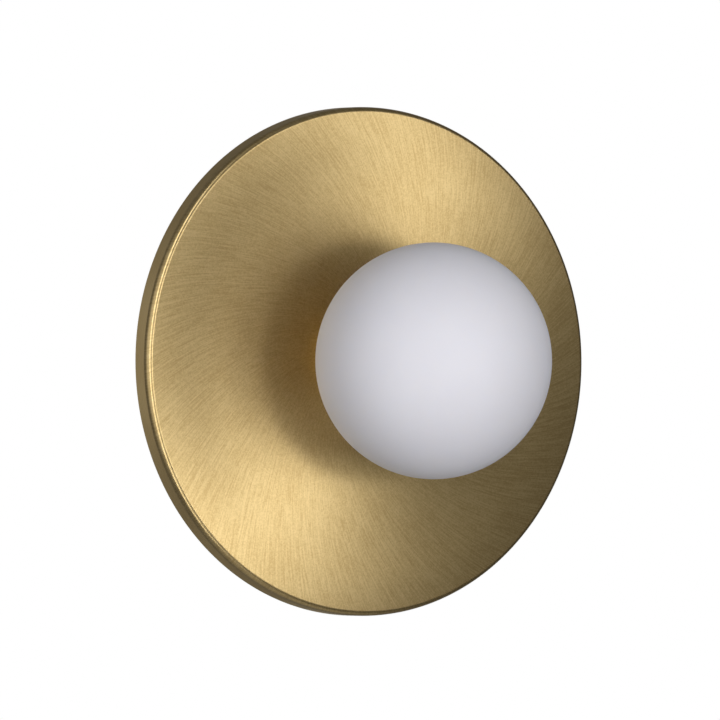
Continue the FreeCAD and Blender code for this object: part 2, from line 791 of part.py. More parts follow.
def lamp_pins():
    """Two wire loops under the lamp's base, side by side in one plane."""
    half = number("pin_loop_width / 2")
    run = number("pin_length - pin_wire_radius - pin_loop_width / 2")
    near_leg = (Vector(0, 0, half), Vector(0, run, half))
    far_leg = (Vector(0, run, -half), Vector(0, 0, -half))
    path = Part.Wire([
        Part.LineSegment(*near_leg).toShape(),
        Part.Arc(near_leg[1], Vector(0, run + half, 0), far_leg[0]).toShape(),
        Part.LineSegment(*far_leg).toShape(),
    ])
    section = Part.Wire([Part.makeCircle(number("pin_wire_radius"), near_leg[0], Vector(0, 1, 0))])
    pins = []
    for label, side in (("upper_pin", ""), ("lower_pin", "-")):
        pin = doc.addObject("Part::Feature", label)
        pin.Shape = path.makePipeShell([section], True, False)
        pins.append(place(pin, y="-(%s)" % LAMP_SEAT, z=side + "pin_spacing / 2"))
    return group("lamp_pins", pins)


def lamp_base():
    """Turned ceramic base of the capsule lamp, with one groove round it."""
    body = new_body("lamp_base")
    waist = "(lamp_base_radius - lamp_base_groove_depth)"
    low = "-(lamp_base_height - lamp_base_groove_width) / 2"
    high = "-(lamp_base_height + lamp_base_groove_width) / 2"
    turn(body, (
        ("0", "0"),
        ("lamp_base_radius", "0"),
        ("lamp_base_radius", low),
        (waist, low),
        (waist, high),
        ("lamp_base_radius", high),
        ("lamp_base_radius", "-lamp_base_height"),
        ("0", "-lamp_base_height"),
    ))
    return place(body, y="-(%s)" % LAMP_SEAT)


def lamp_cover():
    """Frosted cap of the capsule lamp, a thin shell with a domed end."""
    body = new_body("lamp_cover")
    inner = "(lamp_cover_radius - lamp_cover_wall)"
    roof = "-(lamp_cover_height - lamp_cover_wall)"
    turn(body, (
        ("0", "-lamp_cover_height"),
        ("lamp_cover_radius", "-lamp_cover_height"),
        ("lamp_cover_radius", "0"),
        (inner, "0"),
        (inner, roof),
        ("0", roof),
    ))
    dress(body, "Fillet", "0.8 * lamp_cover_radius",
          lambda edge: is_ring(edge, "lamp_cover_radius", "-lamp_cover_height"))
    dress(body, "Fillet", "0.8 * lamp_cover_radius - lamp_cover_wall",
          lambda edge: is_ring(edge, inner, roof))
    return place(body, y="-(%s + lamp_base_height)" % LAMP_SEAT)


def lamp_board():
    """Upright board inside the lamp's cover, with a row of light chips on both faces."""
    body = new_body("lamp_board")
    board = new_sketch(body, "XZ_Plane")
    add_outline(board, (
        ("-lamp_board_width / 2", "-lamp_board_sheet / 2"),
        ("lamp_board_width / 2", "-lamp_board_sheet / 2"),
        ("lamp_board_width / 2", "lamp_board_sheet / 2"),
        ("-lamp_board_width / 2", "lamp_board_sheet / 2"),
    ))
    pad(body, board, "lamp_board_height")
    chip = new_sketch(body, "XY_Plane")
    first = "(lamp_board_height - %d * lamp_chip_pitch) / 2" % (CHIPS - 1)
    add_outline(chip, (
        ("-lamp_chip_size / 2", "-(%s - lamp_chip_size / 2)" % first),
        ("lamp_chip_size / 2", "-(%s - lamp_chip_size / 2)" % first),
        ("lamp_chip_size / 2", "-(%s + lamp_chip_size / 2)" % first),
        ("-lamp_chip_size / 2", "-(%s + lamp_chip_size / 2)" % first),
    ))
    one = pad(body, chip, "lamp_board_sheet + 2 * lamp_chip_height", both_sides=True)
    row = repeat(body, [one], "Y_Axis", "lamp_chip_pitch", CHIPS)
    row.Reversed = True
    finish_feature(body, row)
    return place(body, y="-(%s + lamp_base_height)" % LAMP_SEAT)


def seal_ring():
    body = new_body("seal_ring")
    inner = "(seal_radius - seal_width)"
    turn(body, (
        (inner, "0"),
        ("seal_radius", "0"),
        ("seal_radius", "-seal_height"),
        (inner, "-seal_height"),
    ))
    return place(body, y="-(%s + seat_gap)" % STAND_SEAT)


def add_bulb_wall(sketch, ball_radius, stem_radius, stem_end):
    """Arc of the ball about the origin, run into the straight side of its stem."""
    size = number(ball_radius)
    across = number(stem_radius)
    join = math.sqrt(size ** 2 - across ** 2)
    ball = Part.Circle(Vector(0, 0, 0), Vector(0, 0, 1), size)
    arc = sketch.addGeometry(Part.ArcOfCircle(ball, -math.pi / 2, math.atan2(join, across)), False)
    stem = Part.LineSegment(Vector(across, join, 0), spot(stem_radius, stem_end))
    side = sketch.addGeometry(stem, False)
    sketch.addConstraint(Sketcher.Constraint("Coincident", arc, 3, -1, 1))
    sketch.addConstraint(Sketcher.Constraint("PointOnObject", arc, 1, -2))
    measure(sketch, "Radius", (arc,), ball_radius)
    sketch.addConstraint(Sketcher.Constraint("Coincident", arc, 2, side, 1))
    sketch.addConstraint(Sketcher.Constraint("Vertical", side))
    hold(sketch, side, 2, stem_radius, stem_end)
    return arc, side


def glass_globe():
    """Blown opal shell of even wall, drawn into a short neck at the back."""
    body = new_body("glass_globe")
    sketch = new_sketch(body, "XY_Plane")
    neck_end = "%s - (%s)" % (GLOBE_CENTRE, NECK_END)
    outer_ball, outer_side = add_bulb_wall(sketch, "globe_radius", "neck_radius", neck_end)
    inner_ball, inner_side = add_bulb_wall(sketch, "globe_radius - glass_wall",
                                           "neck_radius - neck_wall", neck_end)
    ends = (
        (spot("neck_radius", neck_end), spot("neck_radius - neck_wall", neck_end),
         outer_side, inner_side, 2),
        (spot("0", "-globe_radius"), spot("0", "-(globe_radius - glass_wall)"),
         outer_ball, inner_ball, 1),
    )
    for outside, inside, outer, inner, point in ends:
        end = sketch.addGeometry(Part.LineSegment(outside, inside), False)
        sketch.addConstraint(Sketcher.Constraint("Coincident", end, 1, outer, point))
        sketch.addConstraint(Sketcher.Constraint("Coincident", end, 2, inner, point))
    revolve(body, sketch)
    join = "sqrt(globe_radius ^ 2 - neck_radius ^ 2)"
    dress(body, "Fillet", "neck_fillet", lambda edge: is_ring(edge, "neck_radius", join))
    return place(body, y="-(%s)" % GLOBE_CENTRE)


def terminal_block():
    """Moulded strip of three poles: barrels for the inserts, towers for the screws, a web between."""
    body = new_body("terminal_block")
    half_width = "block_width / 2"
    end = "(%d * pole_pitch / 2 + block_margin)" % POLES
    web = new_sketch(body, "XZ_Plane")
    add_outline(web, (
        ("-" + half_width, "-" + end),
        (half_width, "-" + end),
        (half_width, end),
        ("-" + half_width, end),
    ))
    pad(body, web, "block_web_height")
    barrel = new_sketch(body, "YZ_Plane")
    add_circle(barrel, "-barrel_height", "-pole_pitch", "barrel_radius")
    barrel_pad = pad(body, barrel, "block_width", both_sides=True)
    towers = new_sketch(body, "XZ_Plane")
    for side in ("", "-"):
        add_circle(towers, side + "tower_spacing / 2", "-pole_pitch", "tower_radius")
    tower_pad = pad(body, towers, "tower_height")
    repeat(body, [barrel_pad, tower_pad], "Z_Axis", "pole_pitch", POLES)
    bore = new_sketch(body, "YZ_Plane")
    add_circle(bore, "-barrel_height", "-pole_pitch", "insert_radius + seat_gap")
    bore_cut = pocket(body, bore, "block_width + cut_overrun", both_sides=True)
    wells = new_sketch(body, "XZ_Plane")
    bind(wells, ".AttachmentOffset.Base.z", "tower_height + cut_overrun")
    for side in ("", "-"):
        add_circle(wells, side + "tower_spacing / 2", "-pole_pitch", "terminal_screw_radius + pass_clearance")
    well_cut = pocket(body, wells, "tower_height + cut_overrun - barrel_height")
    repeat(body, [bore_cut, well_cut], "Z_Axis", "pole_pitch", POLES)
    fixings = new_sketch(body, "XZ_Plane")
    for side in ("", "-"):
        add_circle(fixings, "0", side + "pole_pitch / 2", "block_screw_radius + pass_clearance")
    pocket(body, fixings, "2 * tower_height", both_sides=True)
    return place(body, y="-strap_sheet", z="-block_drop")


LOWEST_POLE = "-block_drop - %d * pole_pitch / 2" % (POLES - 1)


def terminal_inserts():
    """Brass tube in each pole, with a tapped hole under each screw tower."""
    body = new_body("terminal_inserts")
    tube = new_sketch(body, "YZ_Plane")
    add_circle(tube, "0", "0", "insert_radius")
    add_circle(tube, "0", "0", "insert_bore_radius")
    pad(body, tube, "insert_length", both_sides=True)
    taps = new_sketch(body, "XZ_Plane")
    for side in ("", "-"):
        add_circle(taps, side + "tower_spacing / 2", "0", "terminal_screw_radius + thread_gap")
    pocket(body, taps, "insert_radius + cut_overrun", against=True)
    repeat(body, [], "Z_Axis", "pole_pitch", POLES)
    return place(body, y="-(%s)" % BARREL_AXIS, z=LOWEST_POLE)


def terminal_screws():
    """Slotted grub screws, two in each pole."""
    body = new_body("terminal_screws")
    height = "(tower_height - terminal_screw_recess - barrel_height)"
    turn(body, (
        ("0", "-(ferrule_radius + seat_gap)"),
        ("terminal_screw_radius", "-(ferrule_radius + seat_gap)"),
        ("terminal_screw_radius", "-" + height),
        ("0", "-" + height),
    ))
    cut_driver_slot(body, "terminal_screw_radius", height, "terminal_slot_depth")
    repeat(body, [], "X_Axis", "tower_spacing", 2)
    repeat(body, [], "Z_Axis", "pole_pitch", POLES)
    return place(body, x="-tower_spacing / 2", y="-(%s)" % BARREL_AXIS, z=LOWEST_POLE)


def block_screws():
    """Screws between the poles that hold the terminal block on the bracket."""
    body = headed_screw("block_screws", "block_screw_radius", "block_screw_length",
                        "block_head_radius", "block_head_height")
    repeat(body, [], "Z_Axis", "pole_pitch", 2)
    return place(body, y="-(strap_sheet + block_web_height)", z="-block_drop - pole_pitch / 2")


def lead_ferrules():
    """Crimped sleeves on the leads' ends, one in each pole."""
    body = new_body("lead_ferrules")
    sketch = new_sketch(body, "YZ_Plane")
    add_circle(sketch, "0", "0", "ferrule_radius")
    pad(body, sketch, "ferrule_length")
    repeat(body, [], "Z_Axis", "pole_pitch", POLES)
    return place(body, x="-block_width / 2", y="-(%s)" % BARREL_AXIS, z=LOWEST_POLE)


def lead_sleeve():
    """Heat-resistant sleeve round both lamp leads, through the nipple."""
    body = new_body("lead_sleeve")
    inner = "(sleeve_radius - sleeve_wall)"
    back = "-(%s)" % NIPPLE_BACK
    front = "-(%s - pass_clearance)" % HOLDER_SEAT
    turn(body, (
        (inner, back),
        ("sleeve_radius", back),
        ("sleeve_radius", front),
        (inner, front),
    ))
    return body


# Routes of the leads: across and up as shares of the pan's radius, and a depth from the wall
LIVE_ROUTE_SHARES = ((-0.23, 0.0), (-0.285, -0.085), (-0.20, None))
NEUTRAL_ROUTE_SHARES = ((-0.17, 0.07), (-0.335, 0.045), (-0.405, -0.08), (-0.34, -0.19), (-0.20, None))
BRACKET_EARTH_SHARES = ((-0.17, None), (-0.28, -0.36), (-0.305, -0.53), (-0.20, None))
PAN_EARTH_SHARES = ((0.21, None), (0.33, -0.53), (0.40, -0.34), (0.355, -0.14), (0.24, None))


def route(start, shares, end):
    """Points of a lead. Its depth goes evenly from the start's to the end's.

    Where a point has no height of its own, its run lies straight out of the nearer end.
    """
    radius = number("pan_radius")
    points = [start]
    for step, (across, up) in enumerate(shares, start=1):
        nearer = start if 2 * step <= len(shares) else end
        if up is None:
            points.append(Vector(radius * across, nearer.y, nearer.z))
        else:
            depth = start.y + (end.y - start.y) * step / (len(shares) + 1)
            points.append(Vector(radius * across, depth, radius * up))
    return points + [end]


def lead(label, points, first_radius=None):
    """Round lead of straight runs joined by tangent arcs, each as large as its two runs allow."""
    thickness = number("lead_radius")
    edges = []
    radii = []
    at = points[0]
    for index in range(1, len(points) - 1):
        before, corner, after = points[index - 1:index + 2]
        inward = (corner - before).normalize()
        outward = (after - corner).normalize()
        half = inward.getAngle(outward) / 2
        shorter = min(before.distanceToPoint(corner), corner.distanceToPoint(after))
        radius = 0.45 * shorter / math.tan(half)
        if index == 1 and first_radius is not None:
            radius = first_radius
        radii.append(radius)
        reach = radius * math.tan(half)
        start = corner - inward * reach
        end = corner + outward * reach
        middle = corner + (outward - inward).normalize() * (radius / math.cos(half) - radius)
        edges.append(Part.LineSegment(at, start).toShape())
        edges.append(Part.Arc(start, middle, end).toShape())
        at = end
    edges.append(Part.LineSegment(at, points[-1]).toShape())
    path = Part.Wire(edges)
    section = Part.Wire([Part.makeCircle(thickness, points[0], points[1] - points[0])])
    wire = doc.addObject("Part::Feature", label)
    wire.Label = label
    wire.Shape = path.makePipeShell([section], True, False)
    wanted = math.pi * thickness ** 2 * path.Length
    print("%s is %.1f long, radii %s" % (label, path.Length, ["%.1f" % radius for radius in radii]))
    if not near(wire.Shape.Volume / wanted, 1.0):
        raise RuntimeError("the volume of %s is not its section times its length" % label)
    return wire


def pole_mouth(pole):
    """Point where a lead enters the terminal block, on the side away from the supply."""
    height = "-block_drop + %d * pole_pitch" % pole
    return Vector(number("-block_width / 2"), number("-(%s)" % BARREL_AXIS), number(height))


def lamp_lead(label, side, shares, pole):
    """Lead from the lampholder, down through the nipple, and round to one pole."""
    height = number(side + "lead_offset")
    top = Vector(0, number("-(%s + lead_hole_depth)" % HOLDER_SEAT), height)
    bend = Vector(0, number("-lead_lift"), height)
    points = [top] + route(bend, shares, pole_mouth(pole))
    return lead(label, points, first_radius=number("lead_exit_radius"))


def live_lead():
    return lamp_lead("live_lead", "-", LIVE_ROUTE_SHARES, 1)


def neutral_lead():
    return lamp_lead("neutral_lead", "", NEUTRAL_ROUTE_SHARES, 0)


def bracket_earth_lead():
    """Lead from the lowest pole to the bracket's earth screw."""
    reach = "-(%s + %s)" % (EARTH_TAG_HOLE, TAG_REACH)
    end = Vector(number(reach), number("-(%s + tag_barrel_radius)" % FIRST_TAG), number("-earth_screw_drop"))
    return lead("bracket_earth_lead", route(pole_mouth(-1), BRACKET_EARTH_SHARES, end))


def pan_earth_lead():
    """Lead from the bracket's earth screw to the tag behind the pan."""
    reach = "%s + %s" % (EARTH_TAG_HOLE, TAG_REACH)
    depth = "-(%s + tag_barrel_radius)" % SECOND_TAG
    start = Vector(number(reach), number(depth), number("-earth_screw_drop"))
    end_reach = "%s + %s" % (NIPPLE_TAG_HOLE, TAG_REACH)
    end_depth = "-(%s - tag_barrel_radius + tag_sheet - pass_clearance)" % REAR_TAG
    end = Vector(number(end_reach), number(end_depth), 0)
    return lead("pan_earth_lead", route(start, PAN_EARTH_SHARES, end))


def rear_locknut():
    return locknut("rear_locknut", REAR_NUT)


def front_locknut():
    return locknut("front_locknut", FRONT_NUT)


BUILDERS = (
    brass_pan, wall_bracket, side_screws, side_nuts, globe_gallery, threaded_nipple,
    rear_locknut, front_locknut, star_washer, nipple_tag, earth_tags, earth_screw, earth_washer,
    lampholder_stand, lampholder, holder_screws, lampholder_contacts,
    lamp_pins, lamp_base, lamp_cover, lamp_board, seal_ring, glass_globe,
    terminal_block, terminal_inserts, terminal_screws, block_screws,
    lead_ferrules, lead_sleeve, live_lead, neutral_lead, bracket_earth_lead, pan_earth_lead,
)
subparts = [build() for build in BUILDERS]
doc.recompute()

for thing in doc.Objects:
    if "Invalid" in thing.State or "Error" in thing.State:
        raise RuntimeError("%s is not up to date" % thing.Label)
for part in subparts:
    shape = part.Shape
    if shape.isNull() or not shape.isValid() or not shape.Solids:
        raise RuntimeError("%s has no valid solid" % part.Label)

for part in subparts:
    part.Shape.exportStep("parts/%s.step" % part.Label)
    print("%s: %d solid(s), %.1f mm3" % (part.Label, len(part.Shape.Solids), part.Shape.Volume))
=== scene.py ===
# %% [markdown]
# # Wall sconce in Blender
# A shallow pan of brushed brass hangs on the wall, and an opal glass globe stands close in front of it.
# Behind the pan are a steel bracket, a terminal block and short leads. Inside the globe a capsule lamp
# sits in a ceramic holder.
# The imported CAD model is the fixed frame. Here it gets finer turned parts where the camera comes close,
# a real finish on every part, and a small photo studio.
# %% Load the frame
import math
import bmesh
import bpy
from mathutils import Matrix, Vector


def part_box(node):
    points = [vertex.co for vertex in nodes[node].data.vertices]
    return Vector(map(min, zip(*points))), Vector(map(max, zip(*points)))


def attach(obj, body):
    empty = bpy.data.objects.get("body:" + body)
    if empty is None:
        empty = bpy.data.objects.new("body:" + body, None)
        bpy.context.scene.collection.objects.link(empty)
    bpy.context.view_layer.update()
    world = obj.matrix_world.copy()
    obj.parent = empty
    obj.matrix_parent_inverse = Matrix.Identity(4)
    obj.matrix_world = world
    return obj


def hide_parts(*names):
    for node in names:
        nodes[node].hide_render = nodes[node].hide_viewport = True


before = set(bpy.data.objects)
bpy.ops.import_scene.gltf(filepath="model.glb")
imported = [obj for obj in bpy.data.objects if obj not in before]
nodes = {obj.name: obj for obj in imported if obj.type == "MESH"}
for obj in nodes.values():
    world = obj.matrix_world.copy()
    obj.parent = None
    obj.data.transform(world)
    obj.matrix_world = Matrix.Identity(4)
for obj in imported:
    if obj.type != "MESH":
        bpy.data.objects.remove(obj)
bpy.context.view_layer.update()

# %% [markdown]
# ## Camera
# The camera comes first, because it says which surfaces matter.
# The pan's face looks out of the wall towards -Y. In the photograph its circle is narrowed to 0.856 of
# its width, and that is the cosine of the angle between the camera and the wall's normal: 31 degrees.
# The circle's height shows the scale, and the lens follows from the distance.
# A long lens from seven metres away keeps the globe and the pan in their photographed proportion, and a
# third of a degree from below puts the globe's middle where it is.
# %% Place the camera
CAMERA_SIDE = math.radians(-31.1)
CAMERA_RISE = math.radians(-0.3)
CAMERA_DISTANCE = 7.0
PAN_HALF_PIXELS = 254.6
PAN_HALF_METRES = 0.13
PIXELS_PER_METRE = PAN_HALF_PIXELS / PAN_HALF_METRES
SENSOR_MM = 36
FRAME_PIXELS = 720
FACE_DEPTH = 0.013
FACE_RIGHT_PIXELS = 8.3
FACE_DOWN_PIXELS = 1.4

level = Vector((math.sin(CAMERA_SIDE), -math.cos(CAMERA_SIDE), 0))
to_camera = level * math.cos(CAMERA_RISE) + Vector((0, 0, math.sin(CAMERA_RISE)))
to_right = Vector((math.cos(CAMERA_SIDE), math.sin(CAMERA_SIDE), 0))
to_top = to_camera.cross(to_right)
off_middle = to_top * FACE_DOWN_PIXELS - to_right * FACE_RIGHT_PIXELS
aim = Vector((0, -FACE_DEPTH, 0)) + off_middle / PIXELS_PER_METRE
camera = bpy.data.objects.new("camera", bpy.data.cameras.new("camera"))
bpy.context.scene.collection.objects.link(camera)
camera.location = aim + to_camera * CAMERA_DISTANCE
camera.rotation_euler = (-to_camera).to_track_quat("-Z", "Y").to_euler()
camera.data.sensor_width = SENSOR_MM
camera.data.lens = PIXELS_PER_METRE * CAMERA_DISTANCE * SENSOR_MM / FRAME_PIXELS
bpy.context.scene.camera = camera
print("lens in mm:", round(camera.data.lens))

# %% [markdown]
# ## Three small helpers
# Colours are written as sRGB hex values, as a colour picker gives them, but shaders work in linear light,
# so one function converts them.
# A material is a graph of nodes. One function adds a node with its settings and its links, which keeps
# each finish below down to a few lines that read like a recipe.
# %% Colour and node helpers
def colour(hex_text):
    """Linear RGBA of an sRGB hex colour."""
    channels = []
    for start in (1, 3, 5):
        share = int(hex_text[start:start + 2], 16) / 255
        channels.append(share / 12.92 if share <= 0.04045 else ((share + 0.055) / 1.055) ** 2.4)
    return (*channels, 1.0)


def add_node(tree, kind, settings=None, links=None):
    """Add a node. Settings are attributes or input values, and links are sockets for its inputs."""
    node = tree.nodes.new("ShaderNode" + kind)
    for name, value in (settings or {}).items():
        if isinstance(name, str) and hasattr(node, name):
            setattr(node, name, value)
        else:
            node.inputs[name].default_value = value
    for name, socket in (links or {}).items():
        tree.links.new(socket, node.inputs[name])
    return node


def new_finish(name, hex_text, **values):
    """Material with one Principled shader. Values set its sockets, with _ for a space."""
    material = bpy.data.materials.new(name)
    material.use_nodes = True
    shader = material.node_tree.nodes["Principled BSDF"]
    shader.inputs["Base Color"].default_value = colour(hex_text)
    for socket, value in values.items():
        shader.inputs[socket.replace("_", " ")].default_value = value
    return material, material.node_tree, shader


print("mid grey in linear light:", round(colour("#808080")[0], 3))

# %% [markdown]
# ## Scale of a pattern
# Procedural textures are measured here in object space, which is metres. A noise texture has about one
# blob per unit of its input, so a blob of some millimetres needs a scale of 1000 divided by that size.
# Writing the size in millimetres keeps every pattern tied to something that could be measured.
# %% Pattern scale
def blobs(size_mm):
    """Texture scale that gives blobs of this size."""
    return 1000 / size_mm


print("scale for 2 mm blobs:", blobs(2))

# %% [markdown]
# ## Brushed brass of the pan's face
# The face was brushed with a hand or belt pad that swept outwards while the pan turned, so its scratches
# are spirals: everywhere they lean 28 degrees from the radius.
# Scratches spread the light sideways and hardly at all along their length. That is what makes the
# bow-tie of bright and dark sectors, and it needs an anisotropic shader, not a painted picture.
# The tangent must point across the scratches. The cross product of the position and the axis runs round
# the pan, and turning it back by the lean makes it square to them.
# A spiral with a constant lean keeps the polar angle minus tan(lean) times the logarithm of the radius
# constant. Noise that changes quickly with that value, and slowly along the radius, draws the scratches.
# Real scratches are some hundredths of a millimetre apart, too fine to show, so these are drawn coarser.
# A second, even grain breaks them up, as the pad's loose grit does.
# The rounded edge was rubbed smoother than the face, so the roughness falls where the rounding starts.
# %% Brass with spiral scratches
BRASS_LIGHT = "#D4BC88"
BRASS_DARK = "#BDA36F"
SCRATCH_LEAN = math.radians(28)
SCRATCH_SPACING_MM = 0.6
SCRATCH_LENGTH_MM = 11
GRAIN_MM = 0.7
MIDDLE_RADIUS_MM = 90
CLOUD_MM = 22
GRAIN_SHARE = 0.8
CLOUD_SHARE = 0.3
DARKEST = 0.85
LIGHTEST = 1.25
SCRATCH_DEPTH = 0.00003
FACE_END = 0.1273
EDGE_BLEND = 0.0015
FACE_ROUGHNESS = 0.52
EDGE_ROUGHNESS = 0.33

spiral_brass, tree, shader = new_finish("brass_spiral_brushed", BRASS_LIGHT, Metallic=1.0,
                                        Roughness=FACE_ROUGHNESS, Anisotropic=0.72)
place = add_node(tree, "TexCoord").outputs["Object"]
around = add_node(tree, "VectorMath", {"operation": "CROSS_PRODUCT", 1: (0, 1, 0)}, {0: place}).outputs[0]
lean = {"rotation_type": "AXIS_ANGLE", "Axis": (0, 1, 0), "Angle": -SCRATCH_LEAN}
across_scratches = add_node(tree, "VectorRotate", lean, {"Vector": around}).outputs[0]
tree.links.new(across_scratches, shader.inputs["Tangent"])

parts = add_node(tree, "SeparateXYZ", links={0: place}).outputs
angle = add_node(tree, "Math", {"operation": "ARCTAN2"}, {0: parts["Z"], 1: parts["X"]}).outputs[0]
flat = add_node(tree, "CombineXYZ", links={"X": parts["X"], "Y": parts["Z"]}).outputs[0]
radius = add_node(tree, "VectorMath", {"operation": "LENGTH"}, {0: flat}).outputs["Value"]
log_radius = add_node(tree, "Math", {"operation": "LOGARITHM", 1: math.e}, {0: radius}).outputs[0]
wound = add_node(tree, "Math", {"operation": "MULTIPLY_ADD", 1: -math.tan(SCRATCH_LEAN)},
                 {0: log_radius, 2: angle}).outputs[0]
cosine = add_node(tree, "Math", {"operation": "COSINE"}, {0: wound}).outputs[0]
sine = add_node(tree, "Math", {"operation": "SINE"}, {0: wound}).outputs[0]
on_spiral = add_node(tree, "CombineXYZ", links={"X": cosine, "Y": sine, "Z": log_radius}).outputs[0]
stretch = (MIDDLE_RADIUS_MM / SCRATCH_SPACING_MM, MIDDLE_RADIUS_MM / SCRATCH_SPACING_MM,
           MIDDLE_RADIUS_MM / SCRATCH_LENGTH_MM)
stretched = add_node(tree, "VectorMath", {"operation": "MULTIPLY", 1: stretch}, {0: on_spiral}).outputs[0]
scratches = add_node(tree, "TexNoise", {"Scale": 1.0, "Detail": 2.0, "Roughness": 0.6},
                     {"Vector": stretched}).outputs[0]
grain = add_node(tree, "TexNoise", {"Scale": blobs(GRAIN_MM), "Detail": 2.0}, {"Vector": place}).outputs[0]
clouds = add_node(tree, "TexNoise", {"Scale": blobs(CLOUD_MM), "Detail": 3.0}, {"Vector": place}).outputs[0]
rough = add_node(tree, "Math", {"operation": "MULTIPLY_ADD", 1: GRAIN_SHARE},
                 {0: grain, 2: scratches}).outputs[0]
shade = add_node(tree, "Math", {"operation": "MULTIPLY_ADD", 1: CLOUD_SHARE},
                 {0: clouds, 2: rough}).outputs[0]
tone = add_node(tree, "MapRange", {"From Min": DARKEST, "From Max": LIGHTEST}, {"Value": shade}).outputs[0]
brass_ends = {"data_type": "RGBA", 6: colour(BRASS_DARK), 7: colour(BRASS_LIGHT)}
mixed = add_node(tree, "Mix", brass_ends, {0: tone})
tree.links.new(mixed.outputs[2], shader.inputs["Base Color"])
grooves = add_node(tree, "Bump", {"Strength": 0.35, "Distance": SCRATCH_DEPTH}, {"Height": rough}).outputs[0]
tree.links.new(grooves, shader.inputs["Normal"])
wear = {"From Min": FACE_END, "From Max": FACE_END + EDGE_BLEND,
        "To Min": FACE_ROUGHNESS, "To Max": EDGE_ROUGHNESS}
worn = add_node(tree, "MapRange", wear, {"Value": radius}).outputs[0]
tree.links.new(worn, shader.inputs["Roughness"])
print("scratches across the middle radius:", round(2 * math.pi * MIDDLE_RADIUS_MM / SCRATCH_SPACING_MM))

# %% [markdown]
# ## Turned brass
# The pan's side wall, its inside and the gallery were spun or turned on a lathe. Their tool marks are
# rings round the axis, so the light spreads along the profile and the shine runs round the part.
# The tangent runs round the axis here, and a quarter turn of the anisotropy puts the rough direction
# across the rings. The ring pattern is noise read only by radius and depth.
# %% Brass with turning rings
RING_SPACING_MM = 0.5
RING_CLOUD_MM = 25
RING_CLOUD_SHARE = 0.6
RING_DARKEST = 0.55
RING_LIGHTEST = 1.05
RING_DEPTH = 0.00003
QUARTER_TURN = 0.25


def ringed_brass(name, light, dark, roughness):
    """Lathe-turned brass with rings about the Y axis."""
    material, tree, shader = new_finish(name, light, Metallic=1.0, Roughness=roughness, Anisotropic=0.6)
    shader.inputs["Anisotropic Rotation"].default_value = QUARTER_TURN
    place = add_node(tree, "TexCoord").outputs["Object"]
    around = add_node(tree, "VectorMath", {"operation": "CROSS_PRODUCT", 1: (0, 1, 0)}, {0: place}).outputs[0]
    tree.links.new(around, shader.inputs["Tangent"])
    parts = add_node(tree, "SeparateXYZ", links={0: place}).outputs
    flat = add_node(tree, "CombineXYZ", links={"X": parts["X"], "Y": parts["Z"]}).outputs[0]
    radius = add_node(tree, "VectorMath", {"operation": "LENGTH"}, {0: flat}).outputs["Value"]
    profile = add_node(tree, "CombineXYZ", links={"X": radius, "Y": parts["Y"]}).outputs[0]
    rings = add_node(tree, "TexNoise", {"Scale": blobs(RING_SPACING_MM), "Detail": 2.0},
                     {"Vector": profile}).outputs[0]
    clouds = add_node(tree, "TexNoise", {"Scale": blobs(RING_CLOUD_MM), "Detail": 2.0},
                      {"Vector": place}).outputs[0]
    shade = add_node(tree, "Math", {"operation": "MULTIPLY_ADD", 1: RING_CLOUD_SHARE},
                     {0: clouds, 2: rings}).outputs[0]
    tone = add_node(tree, "MapRange", {"From Min": RING_DARKEST, "From Max": RING_LIGHTEST},
                    {"Value": shade}).outputs[0]
    mixed = add_node(tree, "Mix", {"data_type": "RGBA", 6: colour(dark), 7: colour(light)}, {0: tone})
    tree.links.new(mixed.outputs[2], shader.inputs["Base Color"])
    lines = add_node(tree, "Bump", {"Strength": 0.3, "Distance": RING_DEPTH}, {"Height": rings}).outputs[0]
    tree.links.new(lines, shader.inputs["Normal"])
    return material


side_brass = ringed_brass("brass_spun_side", BRASS_LIGHT, BRASS_DARK, 0.42)
inside_brass = ringed_brass("brass_spun_inside", "#C2A76E", "#9C8250", 0.5)
gallery_brass = ringed_brass("brass_turned", "#D6BD86", "#BFA56E", 0.3)
print("ring noise per millimetre:", blobs(RING_SPACING_MM) / 1000)

# %% [markdown]
# ## A turned mesh
# Pan, gallery and globe are all bodies of revolution. One function spins a closed outline of
# (radius, depth) points round the axis, and another adds a rounded corner to an outline.
# The CAD frame holds the same shapes with fewer facets. A new mesh is worth it where the eye reads a long
# smooth curve, such as the pan's bright rim and the globe's outline.
# The sizes are read from the frame, so the fine mesh stays inside the CAD piece's box.
# They are trimmed by a fiftieth of a millimetre for that. Where an outline starts or ends on the axis, its
# ring of points is merged into one.
# %% Turning helpers
TRIM = 0.00002
SAME_POINT = 0.000001
SHARP_ANGLE = math.radians(32)


def round_corner(centre, size, first, last, steps=10, drop=None):
    """Points of an arc about a (radius, depth) centre, with angles in degrees from outwards to the room.

    A drop makes it an ellipse: size along the radius and drop along the depth.
    """
    points = []
    for step in range(steps + 1):
        angle = math.radians(first + (last - first) * step / steps)
        points.append((centre[0] + size * math.cos(angle), centre[1] + (drop or size) * math.sin(angle)))
    return points


